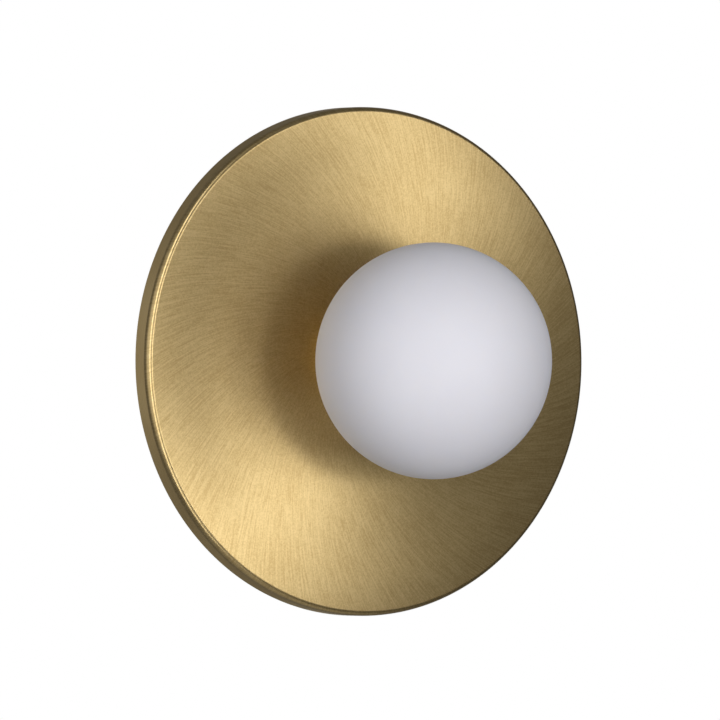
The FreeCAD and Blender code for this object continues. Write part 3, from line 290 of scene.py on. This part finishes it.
def turned(name, outline, segments, finishes, finish_of=None, ripple=None, closed=True):
    """Outline of (radius, depth) points spun round the Y axis, with depth towards -Y."""
    points = []
    for radius, depth in outline:
        for index in range(segments):
            angle = 2 * math.pi * index / segments
            reach = radius + (ripple(radius, depth, angle) if ripple else 0)
            points.append((reach * math.cos(angle), -depth, reach * math.sin(angle)))
    faces = []
    rows = len(outline)
    for row in range(rows if closed else rows - 1):
        following = (row + 1) % rows
        for index in range(segments):
            beside = (index + 1) % segments
            faces.append((row * segments + index, following * segments + index,
                          following * segments + beside, row * segments + beside))
    mesh = bpy.data.meshes.new(name)
    mesh.from_pydata(points, [], faces)
    piece = bpy.data.objects.new(name, mesh)
    bpy.context.scene.collection.objects.link(piece)
    for finish in finishes:
        mesh.materials.append(finish)
    for index, face in enumerate(mesh.polygons):
        face.use_smooth = True
        if finish_of:
            face.material_index = finish_of(index // segments)
    work = bmesh.new()
    work.from_mesh(mesh)
    bmesh.ops.remove_doubles(work, verts=work.verts, dist=SAME_POINT)
    bmesh.ops.recalc_face_normals(work, faces=work.faces)
    work.to_mesh(mesh)
    work.free()
    mesh.set_sharp_from_angle(angle=SHARP_ANGLE)
    print(name, "has", len(mesh.polygons), "faces")
    return piece


# %% [markdown]
# ## Pan
# The pan is spun from 1 mm brass sheet: a flat face, a rounded edge and a short side wall back to the wall.
# The bright line on its left is that rounding, so its shape has to be right. The line is wide and lies far
# out, which shows that the rounding is an ellipse: it leaves the face late and runs into the wall slowly.
# The two holes at the top and bottom of the side wall let a screwdriver reach the locking screws. They are
# cut with a Boolean modifier, which is applied, so that the mesh stands by itself.
# %% Turn the pan
low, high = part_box("brass_pan")
PAN_RADIUS = high[2] - TRIM
PAN_DEPTH = -low[1]
SHEET = 0.001
EDGE = 0.0027
EDGE_DROP = 0.0043
HOLE = 0.0052
SIDE_HOLE_RADIUS = 0.0019
SIDE_HOLE_DEPTH = 0.006
FACE_BAND = 0.02
DRILL_OVERRUN = 0.01
PAN_SEGMENTS = 512

outline = [(HOLE, PAN_DEPTH), (PAN_RADIUS - EDGE - FACE_BAND, PAN_DEPTH)]
edge_middle = (PAN_RADIUS - EDGE, PAN_DEPTH - EDGE_DROP)
outline += round_corner(edge_middle, EDGE, 90, 0, steps=20, drop=EDGE_DROP)
face_rows = len(outline) - 2
outline += [(PAN_RADIUS, 0.0), (PAN_RADIUS - SHEET, 0.0)]
outline += round_corner(edge_middle, EDGE - SHEET, 0, 90, drop=EDGE_DROP - SHEET)
outline += [(HOLE, PAN_DEPTH - SHEET)]


def pan_finish(row):
    """Brushed face and rounding, spun side wall, duller inside."""
    if row <= face_rows:
        return 0
    return 1 if row <= face_rows + 2 else 2


pan = turned("pan_fine", outline, PAN_SEGMENTS, [spiral_brass, side_brass, inside_brass], pan_finish)
bpy.ops.mesh.primitive_cylinder_add(vertices=48, radius=SIDE_HOLE_RADIUS, location=(0, -SIDE_HOLE_DEPTH, 0),
                                    depth=2 * PAN_RADIUS + DRILL_OVERRUN)
drill = bpy.context.active_object
cut = pan.modifiers.new("side_holes", "BOOLEAN")
cut.operation = "DIFFERENCE"
cut.object = drill
bpy.context.view_layer.objects.active = pan
bpy.ops.object.modifier_apply(modifier=cut.name)
bpy.data.objects.remove(drill)
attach(pan, "root")
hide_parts("brass_pan")
print("pan radius and depth in mm:", round(PAN_RADIUS * 1000, 2), round(PAN_DEPTH * 1000, 2))

# %% [markdown]
# ## Screw thread of the globe
# The globe's neck screws into the gallery, as a jam jar does into its lid. Such a glass thread is one
# low round ridge with a coarse pitch. It follows a right-hand helix, so its depth grows with the angle.
# The same function gives the ridge on the neck and the groove in the gallery, and so they run in step
# while the globe is turned out.
# %% Thread shape
THREAD_PITCH = 0.004
THREAD_START = 0.0172
THREAD_TURNS = 1.15
FADES_PER_TURN = 8
RIDGE_HALF_WIDTH = 0.0009
RIDGE_HEIGHT = 0.0003
GROOVE_DEPTH = 0.0004


def ridge_share(distance):
    """Round profile of the thread: 1 on its crest and 0 beside it."""
    share = abs(distance) / RIDGE_HALF_WIDTH
    return 0.5 + 0.5 * math.cos(math.pi * share) if share < 1 else 0.0


def neck_thread(depth, angle):
    """Height share of the neck's ridge, which rises and dies away over an eighth of a turn."""
    highest = 0.0
    for turn in range(math.ceil(THREAD_TURNS)):
        along = angle / (2 * math.pi) + turn
        if along > THREAD_TURNS:
            continue
        ends = min(1.0, along * FADES_PER_TURN, (THREAD_TURNS - along) * FADES_PER_TURN)
        highest = max(highest, ends * ridge_share(depth - THREAD_START - THREAD_PITCH * along))
    return highest


def gallery_thread(depth, angle):
    """Depth share of the groove, which runs on from turn to turn."""
    along = (depth - THREAD_START) / THREAD_PITCH - angle / (2 * math.pi)
    return ridge_share((along - round(along)) * THREAD_PITCH)


print("ridge height at a quarter turn:", round(neck_thread(THREAD_START + THREAD_PITCH / 4, math.pi / 2), 2))

# %% [markdown]
# ## Gallery
# The gallery is the turned brass cup that carries the globe. Its mouth is bevelled so that the neck finds
# the thread, and its outer rim is slightly rounded. A narrow ring of it shows from the side, in the gap
# between the globe and the pan.
# %% Turn the gallery
low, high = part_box("globe_gallery")
GALLERY_RADIUS = high[2] - TRIM
GALLERY_BACK = -high[1]
GALLERY_FRONT = -low[1]
GALLERY_FLOOR_SHEET = 0.002
GALLERY_FLOOR = GALLERY_BACK + GALLERY_FLOOR_SHEET
BORE = 0.0254
BORE_ROWS = 18
RIM = 0.0008
MOUTH = 0.001
GROOVE_FLOOR_GAP = 0.0006
GROOVE_MOUTH_GAP = 0.0001
GALLERY_SEGMENTS = 256

outline = [(HOLE, GALLERY_BACK), (GALLERY_RADIUS, GALLERY_BACK), (GALLERY_RADIUS, GALLERY_FRONT - RIM)]
outline += round_corner((GALLERY_RADIUS - RIM, GALLERY_FRONT - RIM), RIM, 0, 90, steps=6)
outline += [(BORE + MOUTH, GALLERY_FRONT), (BORE, GALLERY_FRONT - MOUTH)]
for step in range(1, BORE_ROWS):
    outline.append((BORE, GALLERY_FRONT - MOUTH + (GALLERY_FLOOR - GALLERY_FRONT + MOUTH) * step / BORE_ROWS))
outline += [(BORE, GALLERY_FLOOR), (HOLE, GALLERY_FLOOR)]


def gallery_groove(radius, depth, angle):
    """Thread groove in the bore, away from its mouth and floor."""
    threaded = GALLERY_FLOOR + GROOVE_FLOOR_GAP < depth < GALLERY_FRONT - MOUTH - GROOVE_MOUTH_GAP
    return GROOVE_DEPTH * gallery_thread(depth, angle) if radius == BORE and threaded else 0.0


gallery = turned("gallery_fine", outline, GALLERY_SEGMENTS, [gallery_brass], ripple=gallery_groove)
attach(gallery, "root")
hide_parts("globe_gallery")
print("gallery depths in mm:", round(GALLERY_BACK * 1000, 2), round(GALLERY_FRONT * 1000, 2))

# %% [markdown]
# ## Opal glass
# Opal glass is milky all through, so light enters, wanders a few millimetres and leaves again. The globe
# was acid-etched after blowing, which takes the gloss away and gives soft, wide highlights.
# Subsurface scattering does the wandering, and the roughness does the etching. A faint unevenness of the
# surface keeps it from looking like plastic.
# %% Etched opal glass
MILK_MM = 35
ETCH_MM = 0.6
ETCH_DEPTH = 0.00002

opal, tree, shader = new_finish("opal_glass_etched", "#E1E0E7", Roughness=0.65, IOR=1.5,
                                Subsurface_Weight=0.4, Subsurface_Scale=0.003)
shader.inputs["Subsurface Radius"].default_value = (1.0, 0.9, 0.8)
place = add_node(tree, "TexCoord").outputs["Object"]
milk = add_node(tree, "TexNoise", {"Scale": blobs(MILK_MM), "Detail": 2.0}, {"Vector": place}).outputs[0]
mixed = add_node(tree, "Mix", {"data_type": "RGBA", 6: colour("#DEDDE5"), 7: colour("#E4E3E9")}, {0: milk})
tree.links.new(mixed.outputs[2], shader.inputs["Base Color"])
grain = add_node(tree, "TexNoise", {"Scale": blobs(ETCH_MM), "Detail": 2.0}, {"Vector": place}).outputs[0]
etched = add_node(tree, "Bump", {"Strength": 0.12, "Distance": ETCH_DEPTH}, {"Height": grain}).outputs[0]
tree.links.new(etched, shader.inputs["Normal"])
print("opal scatters over", shader.inputs["Subsurface Scale"].default_value * 1000, "mm")

# %% [markdown]
# ## Globe
# The globe is a blown shell 3 mm thick, drawn into a short neck. Its outside is one long even curve, so
# the outline has a point every two degrees. The neck's rows are close together to hold the thread.
# %% Turn the globe
low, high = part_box("glass_globe")
GLOBE_RADIUS = high[2] - TRIM
GLOBE_CENTRE = -low[1] - GLOBE_RADIUS - TRIM
NECK_END = -high[1]
GLASS = 0.003
NECK = 0.025
NECK_FILLET = 0.001
NECK_BEVEL = 0.0004
NECK_ROWS = 24
GLOBE_SEGMENTS = 256

shoulder_depth = GLOBE_CENTRE - math.sqrt((GLOBE_RADIUS + NECK_FILLET) ** 2 - (NECK + NECK_FILLET) ** 2)
meet = math.degrees(math.atan2(shoulder_depth - GLOBE_CENTRE, NECK + NECK_FILLET))
inner_meet = -math.degrees(math.acos((NECK - GLASS) / (GLOBE_RADIUS - GLASS)))
outline = round_corner((0, GLOBE_CENTRE), GLOBE_RADIUS, 90, meet, steps=80)
outline += round_corner((NECK + NECK_FILLET, shoulder_depth), NECK_FILLET, meet + 180, 180, steps=6)[1:]
neck_length = NECK_END + NECK_BEVEL - shoulder_depth
for step in range(1, NECK_ROWS + 1):
    outline.append((NECK, shoulder_depth + neck_length * step / NECK_ROWS))
outline += [(NECK - NECK_BEVEL, NECK_END), (NECK - GLASS + NECK_BEVEL, NECK_END),
            (NECK - GLASS, NECK_END + NECK_BEVEL)]
outline += round_corner((0, GLOBE_CENTRE), GLOBE_RADIUS - GLASS, inner_meet, 90, steps=60)


def neck_ridge(radius, depth, angle):
    """Thread ridge on the outside of the neck."""
    return RIDGE_HEIGHT * neck_thread(depth, angle) if radius == NECK else 0.0


globe = turned("globe_fine", outline, GLOBE_SEGMENTS, [opal], ripple=neck_ridge, closed=False)
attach(globe, "globe")
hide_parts("glass_globe")
print("globe centre stands", round(GLOBE_CENTRE * 1000, 2), "mm from the wall")

# %% [markdown]
# ## Zinc-plated steel
# Bracket, stand, nuts, washers and screws are pressed or turned steel with a thin zinc plating. Zinc gives
# a grey, slightly blue metal whose shine is cloudy, because the bath never deposits quite evenly.
# Two noises do that here: a broad one for the clouds and a fine one for the grain of the rolled sheet.
# Both the colour and the roughness follow them.
# %% Plating and a way to dress CAD parts
CLOUD_LOW = 0.3
CLOUD_HIGH = 0.7


def dress(finish, *names):
    """Give CAD parts this finish."""
    for name in names:
        for slot in nodes[name].material_slots:
            slot.material = finish


def clouded(name, light, dark, cloud_mm, grain_mm, smooth, dull, grain_height, **values):
    """Finish whose colour and roughness drift with broad clouds, over a fine grain.

    Sizes of cloud and grain and the grain's height are in millimetres. Roughness goes from smooth to dull.
    """
    material, tree, shader = new_finish(name, light, **values)
    place = add_node(tree, "TexCoord").outputs["Object"]
    clouds = add_node(tree, "TexNoise", {"Scale": blobs(cloud_mm), "Detail": 4.0},
                      {"Vector": place}).outputs[0]
    limits = {"From Min": CLOUD_LOW, "From Max": CLOUD_HIGH}
    share = add_node(tree, "MapRange", limits, {"Value": clouds}).outputs[0]
    mixed = add_node(tree, "Mix", {"data_type": "RGBA", 6: colour(dark), 7: colour(light)}, {0: share})
    tree.links.new(mixed.outputs[2], shader.inputs["Base Color"])
    sheen = add_node(tree, "MapRange", {**limits, "To Min": dull, "To Max": smooth},
                     {"Value": clouds}).outputs[0]
    tree.links.new(sheen, shader.inputs["Roughness"])
    grain = add_node(tree, "TexNoise", {"Scale": blobs(grain_mm), "Detail": 3.0},
                     {"Vector": place}).outputs[0]
    bumps = add_node(tree, "Bump", {"Strength": 0.4, "Distance": grain_height / 1000},
                     {"Height": grain}).outputs[0]
    tree.links.new(bumps, shader.inputs["Normal"])
    return material


zinc = clouded("steel_zinc_plated", "#C0C3C6", "#AEB2B6", 6, 0.7, 0.33, 0.42, 0.02, Metallic=1.0)
dress(zinc, "wall_bracket", "lampholder_stand", "star_washer", "earth_washer", "side_nuts")
print("zinc on", len(nodes["wall_bracket"].data.polygons), "faces of the bracket")

# %% [markdown]
# ## Screws and nuts
# Screws and nuts are turned, so their marks run round their own axes. At this scale the eye only sees that
# they are a little brighter and smoother than the sheet.
# %% Screws and nuts
bright_steel = clouded("steel_bright_zinc", "#CDD0D2", "#B4B8BC", 4, 0.4, 0.22, 0.34, 0.01, Metallic=1.0)
dress(bright_steel, "side_screws", "rear_locknut", "front_locknut", "holder_screws", "earth_screw",
      "block_screws")
print("screws and nuts wear", bright_steel.name)

# %% [markdown]
# ## Threaded nipple
# The hollow nipple holds everything together, and its end shows in the bracket's middle hole. Its fine
# thread is real geometry: the outside of the tube sinks and rises along a right-hand helix of 1 mm pitch,
# on the same idea as the globe's thread. The thread dies into a chamfer at both ends.
# %% Thread the nipple
NIPPLE_PITCH = 0.001
NIPPLE_THREAD_DEPTH = 0.00055
NIPPLE_CHAMFER = 0.0005
NIPPLE_BORE = 0.0038
NIPPLE_ROWS_PER_TURN = 12
NIPPLE_SEGMENTS = 72

low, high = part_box("threaded_nipple")
NIPPLE_RADIUS = high[0] - TRIM
NIPPLE_BACK = -high[1]
NIPPLE_FRONT = -low[1]
nipple_rows = round((NIPPLE_FRONT - NIPPLE_BACK) / NIPPLE_PITCH * NIPPLE_ROWS_PER_TURN)
outline = [(NIPPLE_BORE, NIPPLE_BACK)]
for step in range(nipple_rows + 1):
    outline.append((NIPPLE_RADIUS, NIPPLE_BACK + (NIPPLE_FRONT - NIPPLE_BACK) * step / nipple_rows))
outline.append((NIPPLE_BORE, NIPPLE_FRONT))


def nipple_thread(radius, depth, angle):
    """How far the outside sinks below the crest: the thread's flank, or the chamfer near an end."""
    if radius != NIPPLE_RADIUS:
        return 0.0
    along = (depth - NIPPLE_BACK) / NIPPLE_PITCH - angle / (2 * math.pi)
    flank = abs(2 * (along - math.floor(along)) - 1)
    to_end = min(depth - NIPPLE_BACK, NIPPLE_FRONT - depth)
    return -max(NIPPLE_THREAD_DEPTH * flank, NIPPLE_CHAMFER - to_end)


threaded_steel = clouded("steel_threaded", "#C9CCCE", "#B6BABD", 3, 0.4, 0.26, 0.34, 0.006, Metallic=1.0)
nipple = turned("nipple_fine", outline, NIPPLE_SEGMENTS, [threaded_steel], ripple=nipple_thread)
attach(nipple, "root")
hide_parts("threaded_nipple")
print("thread turns along the nipple:", round((NIPPLE_FRONT - NIPPLE_BACK) / NIPPLE_PITCH, 1))

# %% [markdown]
# ## Contact metals
# The lamp's pins and the holder's spring clips are nickel-plated, which looks warmer and glossier than
# zinc. The terminal inserts and their screws are plain machined brass, and the crimped tags and ferrules
# are tinned copper: pale, soft and slightly satin.
# %% Nickel, machined brass and tin
nickel = clouded("nickel_plate", "#D3CFC6", "#BDB8AE", 3, 0.3, 0.16, 0.28, 0.006, Metallic=1.0)
dress(nickel, "lamp_pins", "lampholder_contacts")
machined_brass = clouded("brass_machined", "#D9BF78", "#BFA257", 3, 0.3, 0.2, 0.34, 0.01, Metallic=1.0)
dress(machined_brass, "terminal_inserts", "terminal_screws")
tin = clouded("copper_tinned", "#CFCDC8", "#B5B2AC", 2.5, 0.3, 0.3, 0.45, 0.01, Metallic=1.0)
dress(tin, "nipple_tag", "earth_tags", "lead_ferrules")
print("contact metals:", nickel.name, machined_brass.name, tin.name)

# %% [markdown]
# ## Ceramic
# The lampholder and the lamp's base are steatite, a dense pressed ceramic that stands the lamp's heat.
# It is fired without a thick glaze, so it is off-white with a soft sheen and a few tiny dark specks.
# The specks come from a Voronoi texture: only the innermost part of a few cells is darkened.
# %% Steatite
SPECK_SPACING_MM = 2.2
SPECK_CORE = 0.04
SPECK_END = 0.10
TINT_MM = 12
PORE_MM = 0.5
PORE_DEPTH = 0.00002

steatite, tree, shader = new_finish("steatite_fired", "#ECE7DB", Roughness=0.38, IOR=1.55,
                                    Subsurface_Weight=0.1, Subsurface_Scale=0.001)
place = add_node(tree, "TexCoord").outputs["Object"]
cells = add_node(tree, "TexVoronoi", {"Scale": blobs(SPECK_SPACING_MM)}, {"Vector": place})
beside_speck = add_node(tree, "MapRange", {"From Min": SPECK_CORE, "From Max": SPECK_END},
                        {"Value": cells.outputs["Distance"]}).outputs[0]
tint = add_node(tree, "TexNoise", {"Scale": blobs(TINT_MM), "Detail": 2.0}, {"Vector": place}).outputs[0]
body_ends = {"data_type": "RGBA", 6: colour("#E4DECF"), 7: colour("#F1EDE3")}
body = add_node(tree, "Mix", body_ends, {0: tint}).outputs[2]
mixed = add_node(tree, "Mix", {"data_type": "RGBA", 6: colour("#9C9180")}, {0: beside_speck, 7: body})
tree.links.new(mixed.outputs[2], shader.inputs["Base Color"])
pores = add_node(tree, "TexNoise", {"Scale": blobs(PORE_MM), "Detail": 3.0}, {"Vector": place}).outputs[0]
pitted = add_node(tree, "Bump", {"Strength": 0.3, "Distance": PORE_DEPTH}, {"Height": pores}).outputs[0]
tree.links.new(pitted, shader.inputs["Normal"])
dress(steatite, "lampholder", "lamp_base")
print("speck cells are", SPECK_SPACING_MM, "mm apart")

# %% [markdown]
# ## Plastics and rubber
# The terminal block is moulded polyamide, natural white, with the fine spark-eroded grain of its mould.
# The seal ring is translucent silicone, and the capsule lamp's cap is frosted polycarbonate. All three
# let some light in, more or less, which is again subsurface scattering.
# %% Polyamide, silicone and polycarbonate
polyamide = clouded("polyamide_moulded", "#EAE7DE", "#DEDACF", 8, 0.25, 0.42, 0.52, 0.012,
                    Subsurface_Weight=0.15, Subsurface_Scale=0.001)
dress(polyamide, "terminal_block")
silicone = clouded("silicone_moulded", "#DDDBD5", "#CFCCC5", 6, 0.4, 0.5, 0.62, 0.01,
                   Subsurface_Weight=0.4, Subsurface_Scale=0.002)
dress(silicone, "seal_ring")
frosted = clouded("polycarbonate_frosted", "#F4F2ED", "#EAE7E0", 7, 0.3, 0.45, 0.55, 0.015,
                  Subsurface_Weight=0.5, Subsurface_Scale=0.002)
dress(frosted, "lamp_cover")
print("moulded finishes:", polyamide.name, silicone.name, frosted.name)

# %% [markdown]
# ## Lamp board
# The board inside the lamp is white solder mask with yellow light chips on both faces. Board and chips are
# one CAD part, so the finish tells them apart by place: what stands further out than the board's own
# half thickness is a chip.
# %% Board and chips
BOARD_HALF_MM = 0.5
CHIP_MARGIN_MM = 0.1
MASK_MM = 3
board, tree, shader = new_finish("board_white_mask", "#F0F0EC", Roughness=0.4)
place = add_node(tree, "TexCoord").outputs["Object"]
parts = add_node(tree, "SeparateXYZ", links={0: place}).outputs
out = add_node(tree, "Math", {"operation": "ABSOLUTE"}, {0: parts["Z"]}).outputs[0]
chip_start = {"operation": "GREATER_THAN", 1: (BOARD_HALF_MM + CHIP_MARGIN_MM) / 1000}
chip = add_node(tree, "Math", chip_start, {0: out}).outputs[0]
mask = add_node(tree, "TexNoise", {"Scale": blobs(MASK_MM)}, {"Vector": place}).outputs[0]
mask_ends = {"data_type": "RGBA", 6: colour("#E9E9E4"), 7: colour("#F4F4F0")}
white_mask = add_node(tree, "Mix", mask_ends, {0: mask}).outputs[2]
mixed = add_node(tree, "Mix", {"data_type": "RGBA", 7: colour("#E3C14C")}, {0: chip, 6: white_mask})
tree.links.new(mixed.outputs[2], shader.inputs["Base Color"])
dress(board, "lamp_board")
print("chips start", BOARD_HALF_MM, "mm from the board's middle")

# %% [markdown]
# ## Leads
# The leads are single cores in soft insulation: brown for live, blue for neutral, and green with yellow
# stripes for earth. The stripes run along the wire. The surface normal says which side of the wire a point
# is on, so it can place the stripes without any unwrapping.
# The sleeve through the nipple is braided glass fibre. Two sets of threads cross as they wind round it,
# and the product of two waves that wind opposite ways gives the little diamonds of the braid.
# %% Insulation and braid
STRIPE_START = 0.72
STRIPE_END = 0.78
BRAID_THREADS = 16
BRAID_PITCH_MM = 5
BRAID_DEPTH = 0.00015

brown = clouded("insulation_brown", "#5E3B27", "#4E2F1E", 6, 0.5, 0.38, 0.5, 0.01)
blue = clouded("insulation_blue", "#2F63AC", "#26548F", 6, 0.5, 0.38, 0.5, 0.01)
dress(brown, "live_lead")
dress(blue, "neutral_lead")

striped, tree, shader = new_finish("insulation_green_yellow", "#3C8F3E", Roughness=0.42)
normal = add_node(tree, "TexCoord").outputs["Normal"]
towards = add_node(tree, "SeparateXYZ", links={0: normal}).outputs["Y"]
facing = add_node(tree, "Math", {"operation": "ABSOLUTE"}, {0: towards}).outputs[0]
stripe = add_node(tree, "MapRange", {"From Min": STRIPE_START, "From Max": STRIPE_END},
                  {"Value": facing}).outputs[0]
mixed = add_node(tree, "Mix", {"data_type": "RGBA", 6: colour("#37863B"), 7: colour("#E2C92F")}, {0: stripe})
tree.links.new(mixed.outputs[2], shader.inputs["Base Color"])
dress(striped, "bracket_earth_lead", "pan_earth_lead")

braid, tree, shader = new_finish("glass_fibre_braid", "#E6E2D6", Roughness=0.75, Sheen_Weight=0.2)
place = add_node(tree, "TexCoord").outputs["Object"]
parts = add_node(tree, "SeparateXYZ", links={0: place}).outputs
angle = add_node(tree, "Math", {"operation": "ARCTAN2"}, {0: parts["Z"], 1: parts["X"]}).outputs[0]
waves = []
for way in (1, -1):
    turns = {"operation": "MULTIPLY", 1: way * 2 * math.pi * 1000 / BRAID_PITCH_MM}
    wind = add_node(tree, "Math", turns, {0: parts["Y"]}).outputs[0]
    phase = add_node(tree, "Math", {"operation": "ADD"}, {0: angle, 1: wind}).outputs[0]
    count = add_node(tree, "Math", {"operation": "MULTIPLY", 1: BRAID_THREADS / 2}, {0: phase}).outputs[0]
    waves.append(add_node(tree, "Math", {"operation": "SINE"}, {0: count}).outputs[0])
weave = add_node(tree, "Math", {"operation": "MULTIPLY"}, {0: waves[0], 1: waves[1]}).outputs[0]
share = add_node(tree, "MapRange", {"From Min": -1.0, "From Max": 1.0}, {"Value": weave}).outputs[0]
mixed = add_node(tree, "Mix", {"data_type": "RGBA", 6: colour("#CFC9B8"), 7: colour("#EFECE2")}, {0: share})
tree.links.new(mixed.outputs[2], shader.inputs["Base Color"])
raised = add_node(tree, "Bump", {"Strength": 0.8, "Distance": BRAID_DEPTH}, {"Height": share}).outputs[0]
tree.links.new(raised, shader.inputs["Normal"])
dress(braid, "lead_sleeve")
print("braid threads:", BRAID_THREADS)

# %% [markdown]
# ## Floor
# A sconce hangs at eye height, so the floor is a metre and a half below it. It is a plain pale disc.
# Camera and transmission rays see some extra white on it, so that it reads as pale in any view
# without throwing more light on the sconce.
# %% Lay the floor
FLOOR_DROP = 1.5
FLOOR_RADIUS = 0.9
FLOOR_BACK = 0.3
FLOOR_LIFT = 0.75
ROLLER_MM = 60

bpy.ops.mesh.primitive_circle_add(vertices=96, radius=FLOOR_RADIUS, fill_type="NGON",
                                  location=(0, FLOOR_BACK, -FLOOR_DROP))
floor = bpy.context.active_object
floor.name = "floor"
pale, tree, shader = new_finish("floor_pale_paint", "#EFEEEA", Roughness=0.8)
place = add_node(tree, "TexCoord").outputs["Object"]
roller = add_node(tree, "TexNoise", {"Scale": blobs(ROLLER_MM), "Detail": 3.0}, {"Vector": place}).outputs[0]
mixed = add_node(tree, "Mix", {"data_type": "RGBA", 6: colour("#ECEBE7"), 7: colour("#F3F2EF")}, {0: roller})
tree.links.new(mixed.outputs[2], shader.inputs["Base Color"])
rays = add_node(tree, "LightPath").outputs
seen = add_node(tree, "Math", {"operation": "MAXIMUM"},
                {0: rays["Is Camera Ray"], 1: rays["Is Transmission Ray"]}).outputs[0]
lift = add_node(tree, "Math", {"operation": "MULTIPLY", 1: FLOOR_LIFT}, {0: seen}).outputs[0]
shader.inputs["Emission Color"].default_value = colour("#FFFFFF")
tree.links.new(lift, shader.inputs["Emission Strength"])
floor.data.materials.append(pale)
print("floor lies", FLOOR_DROP, "m below the sconce")

# %% [markdown]
# ## Light
# The photograph's light can be read from the brass. The bright sectors sit where the scratches are square
# to the line between camera and lamp, so the main lamp stands straight in front of the pan. The sectors
# are not quite opposite each other, which only a near lamp does: it is about a metre away.
# A smaller lamp further back sharpens the sectors. A tall panel on the camera's side gives the globe its
# second side. A narrow tall panel beside it draws the bright line along the pan's left edge. It only shows
# in reflections, as a thin card does that is too small to light anything dull.
# A disc behind the plane of the wall lights the bracket and the leads when the sconce is seen from there.
# %% Hang the lamps
TARGET = Vector((0, -0.02, 0))


def soft_lamp(name, side, distance, width, height, watts, lights_dull=True):
    """Soft lamp level with the sconce, a round one if it has no height, at degrees from straight in front."""
    light = bpy.data.lights.new(name, "AREA")
    light.shape = "RECTANGLE" if height else "DISK"
    light.size = width
    if height:
        light.size_y = height
    light.energy = watts
    lamp = bpy.data.objects.new(name, light)
    bpy.context.scene.collection.objects.link(lamp)
    towards = Vector((math.sin(math.radians(side)), -math.cos(math.radians(side)), 0))
    lamp.location = TARGET + towards * distance
    lamp.rotation_euler = (-towards).to_track_quat("-Z", "Y").to_euler()
    lamp.visible_camera = False
    lamp.visible_diffuse = lights_dull


# Name, degrees to the side, then distance, width and height in metres, and watts
soft_lamp("front_near", 0, 0.98, 0.6, None, 3.84)
soft_lamp("front_far", 0, 1.48, 0.24, None, 3.9)
soft_lamp("camera_side_panel", -58, 0.7, 0.28, 2.4, 3.83)
soft_lamp("edge_panel", -66, 0.7, 0.14, 2.4, 2.2, lights_dull=False)
soft_lamp("back_disc", 152, 1.4, 0.8, None, 2.0)

# %% [markdown]
# ## Surroundings
# The background is white to the camera in every direction. It is white to reflections too, where they look
# straight at it past the sconce, and in a low patch at the camera's side, which the pan's rounded edge
# mirrors. Elsewhere the studio is dim, as it is for anyone who photographs metal: a white room in front
# would wash the dark sectors out.
# Ordinary light from the surroundings is a low fill. It grows towards the background, and dull surfaces get
# a little more of it from above.
# A direction's numbers are shares along an axis: 1 is straight along it, and 0 is square to it. It starts
# to count at its first number and counts fully from its second.
# %% Set the world
FRONT_FILL = 0.08
SIDE_FILL = 0.08
BACK_FILL = 0.5
CEILING_FILL = 0.2
PATCH_MIDDLE = 0.04
PATCH_FULL = 0.35
PATCH_END = 0.65
DIRECTIONS = {
    "behind": ("Y", 0.2, 0.75),
    "straight": ("Y", 0.92, 1.0),
    "camera_side": ("X", 0.3, -0.5),
    "not_in_front": ("Y", -0.45, -0.15),
    "not_behind": ("Y", 0.6, 0.2),
}

world = bpy.data.worlds.new("studio")
bpy.context.scene.world = world
world.use_nodes = True
tree = world.node_tree
background = tree.nodes["Background"]
direction = add_node(tree, "TexCoord").outputs["Generated"]
parts = add_node(tree, "SeparateXYZ", links={0: direction}).outputs
weights = {}
for name, (axis, first, full) in DIRECTIONS.items():
    weights[name] = add_node(tree, "MapRange", {"From Min": first, "From Max": full},
                             {"Value": parts[axis]}).outputs[0]
strip = add_node(tree, "Math", {"operation": "MULTIPLY"},
                 {0: weights["not_in_front"], 1: weights["not_behind"]}).outputs[0]
tall_patch = add_node(tree, "Math", {"operation": "MULTIPLY"},
                      {0: weights["camera_side"], 1: strip}).outputs[0]
above_middle = add_node(tree, "Math", {"operation": "SUBTRACT", 1: PATCH_MIDDLE}, {0: parts["Z"]}).outputs[0]
from_middle = add_node(tree, "Math", {"operation": "ABSOLUTE"}, {0: above_middle}).outputs[0]
near_middle = add_node(tree, "MapRange", {"From Min": PATCH_END, "From Max": PATCH_FULL},
                       {"Value": from_middle}).outputs[0]
patch = add_node(tree, "Math", {"operation": "MULTIPLY"}, {0: tall_patch, 1: near_middle}).outputs[0]
white = add_node(tree, "Math", {"operation": "MAXIMUM"}, {0: weights["straight"], 1: patch}).outputs[0]
rays = add_node(tree, "LightPath").outputs
mirrors = add_node(tree, "Math", {"operation": "MAXIMUM"},
                   {0: rays["Is Glossy Ray"], 1: rays["Is Transmission Ray"]}).outputs[0]
mirrored = add_node(tree, "Math", {"operation": "MULTIPLY"}, {0: mirrors, 1: white}).outputs[0]
seen = add_node(tree, "Math", {"operation": "MAXIMUM"}, {0: rays["Is Camera Ray"], 1: mirrored}).outputs[0]
sides = add_node(tree, "MapRange", {"To Min": FRONT_FILL, "To Max": FRONT_FILL + SIDE_FILL},
                 {"Value": weights["behind"]}).outputs[0]
above = add_node(tree, "MapRange", {"To Max": CEILING_FILL}, {"Value": parts["Z"]}).outputs[0]
dull = add_node(tree, "Math", {"operation": "SUBTRACT", 0: 1.0}, {1: mirrors}).outputs[0]
topped = add_node(tree, "Math", {"operation": "MULTIPLY_ADD"}, {0: above, 1: dull, 2: sides}).outputs[0]
fill = add_node(tree, "Math", {"operation": "MULTIPLY_ADD", 1: BACK_FILL},
                {0: weights["straight"], 2: topped}).outputs[0]
strength = add_node(tree, "Math", {"operation": "MAXIMUM"}, {0: seen, 1: fill}).outputs[0]
background.inputs["Color"].default_value = colour("#FFFFFF")
tree.links.new(strength, background.inputs["Strength"])
bpy.context.scene.view_settings.view_transform = "Standard"
print("fill in front, at the side, straight behind and from above:",
      FRONT_FILL, FRONT_FILL + SIDE_FILL, BACK_FILL, CEILING_FILL)
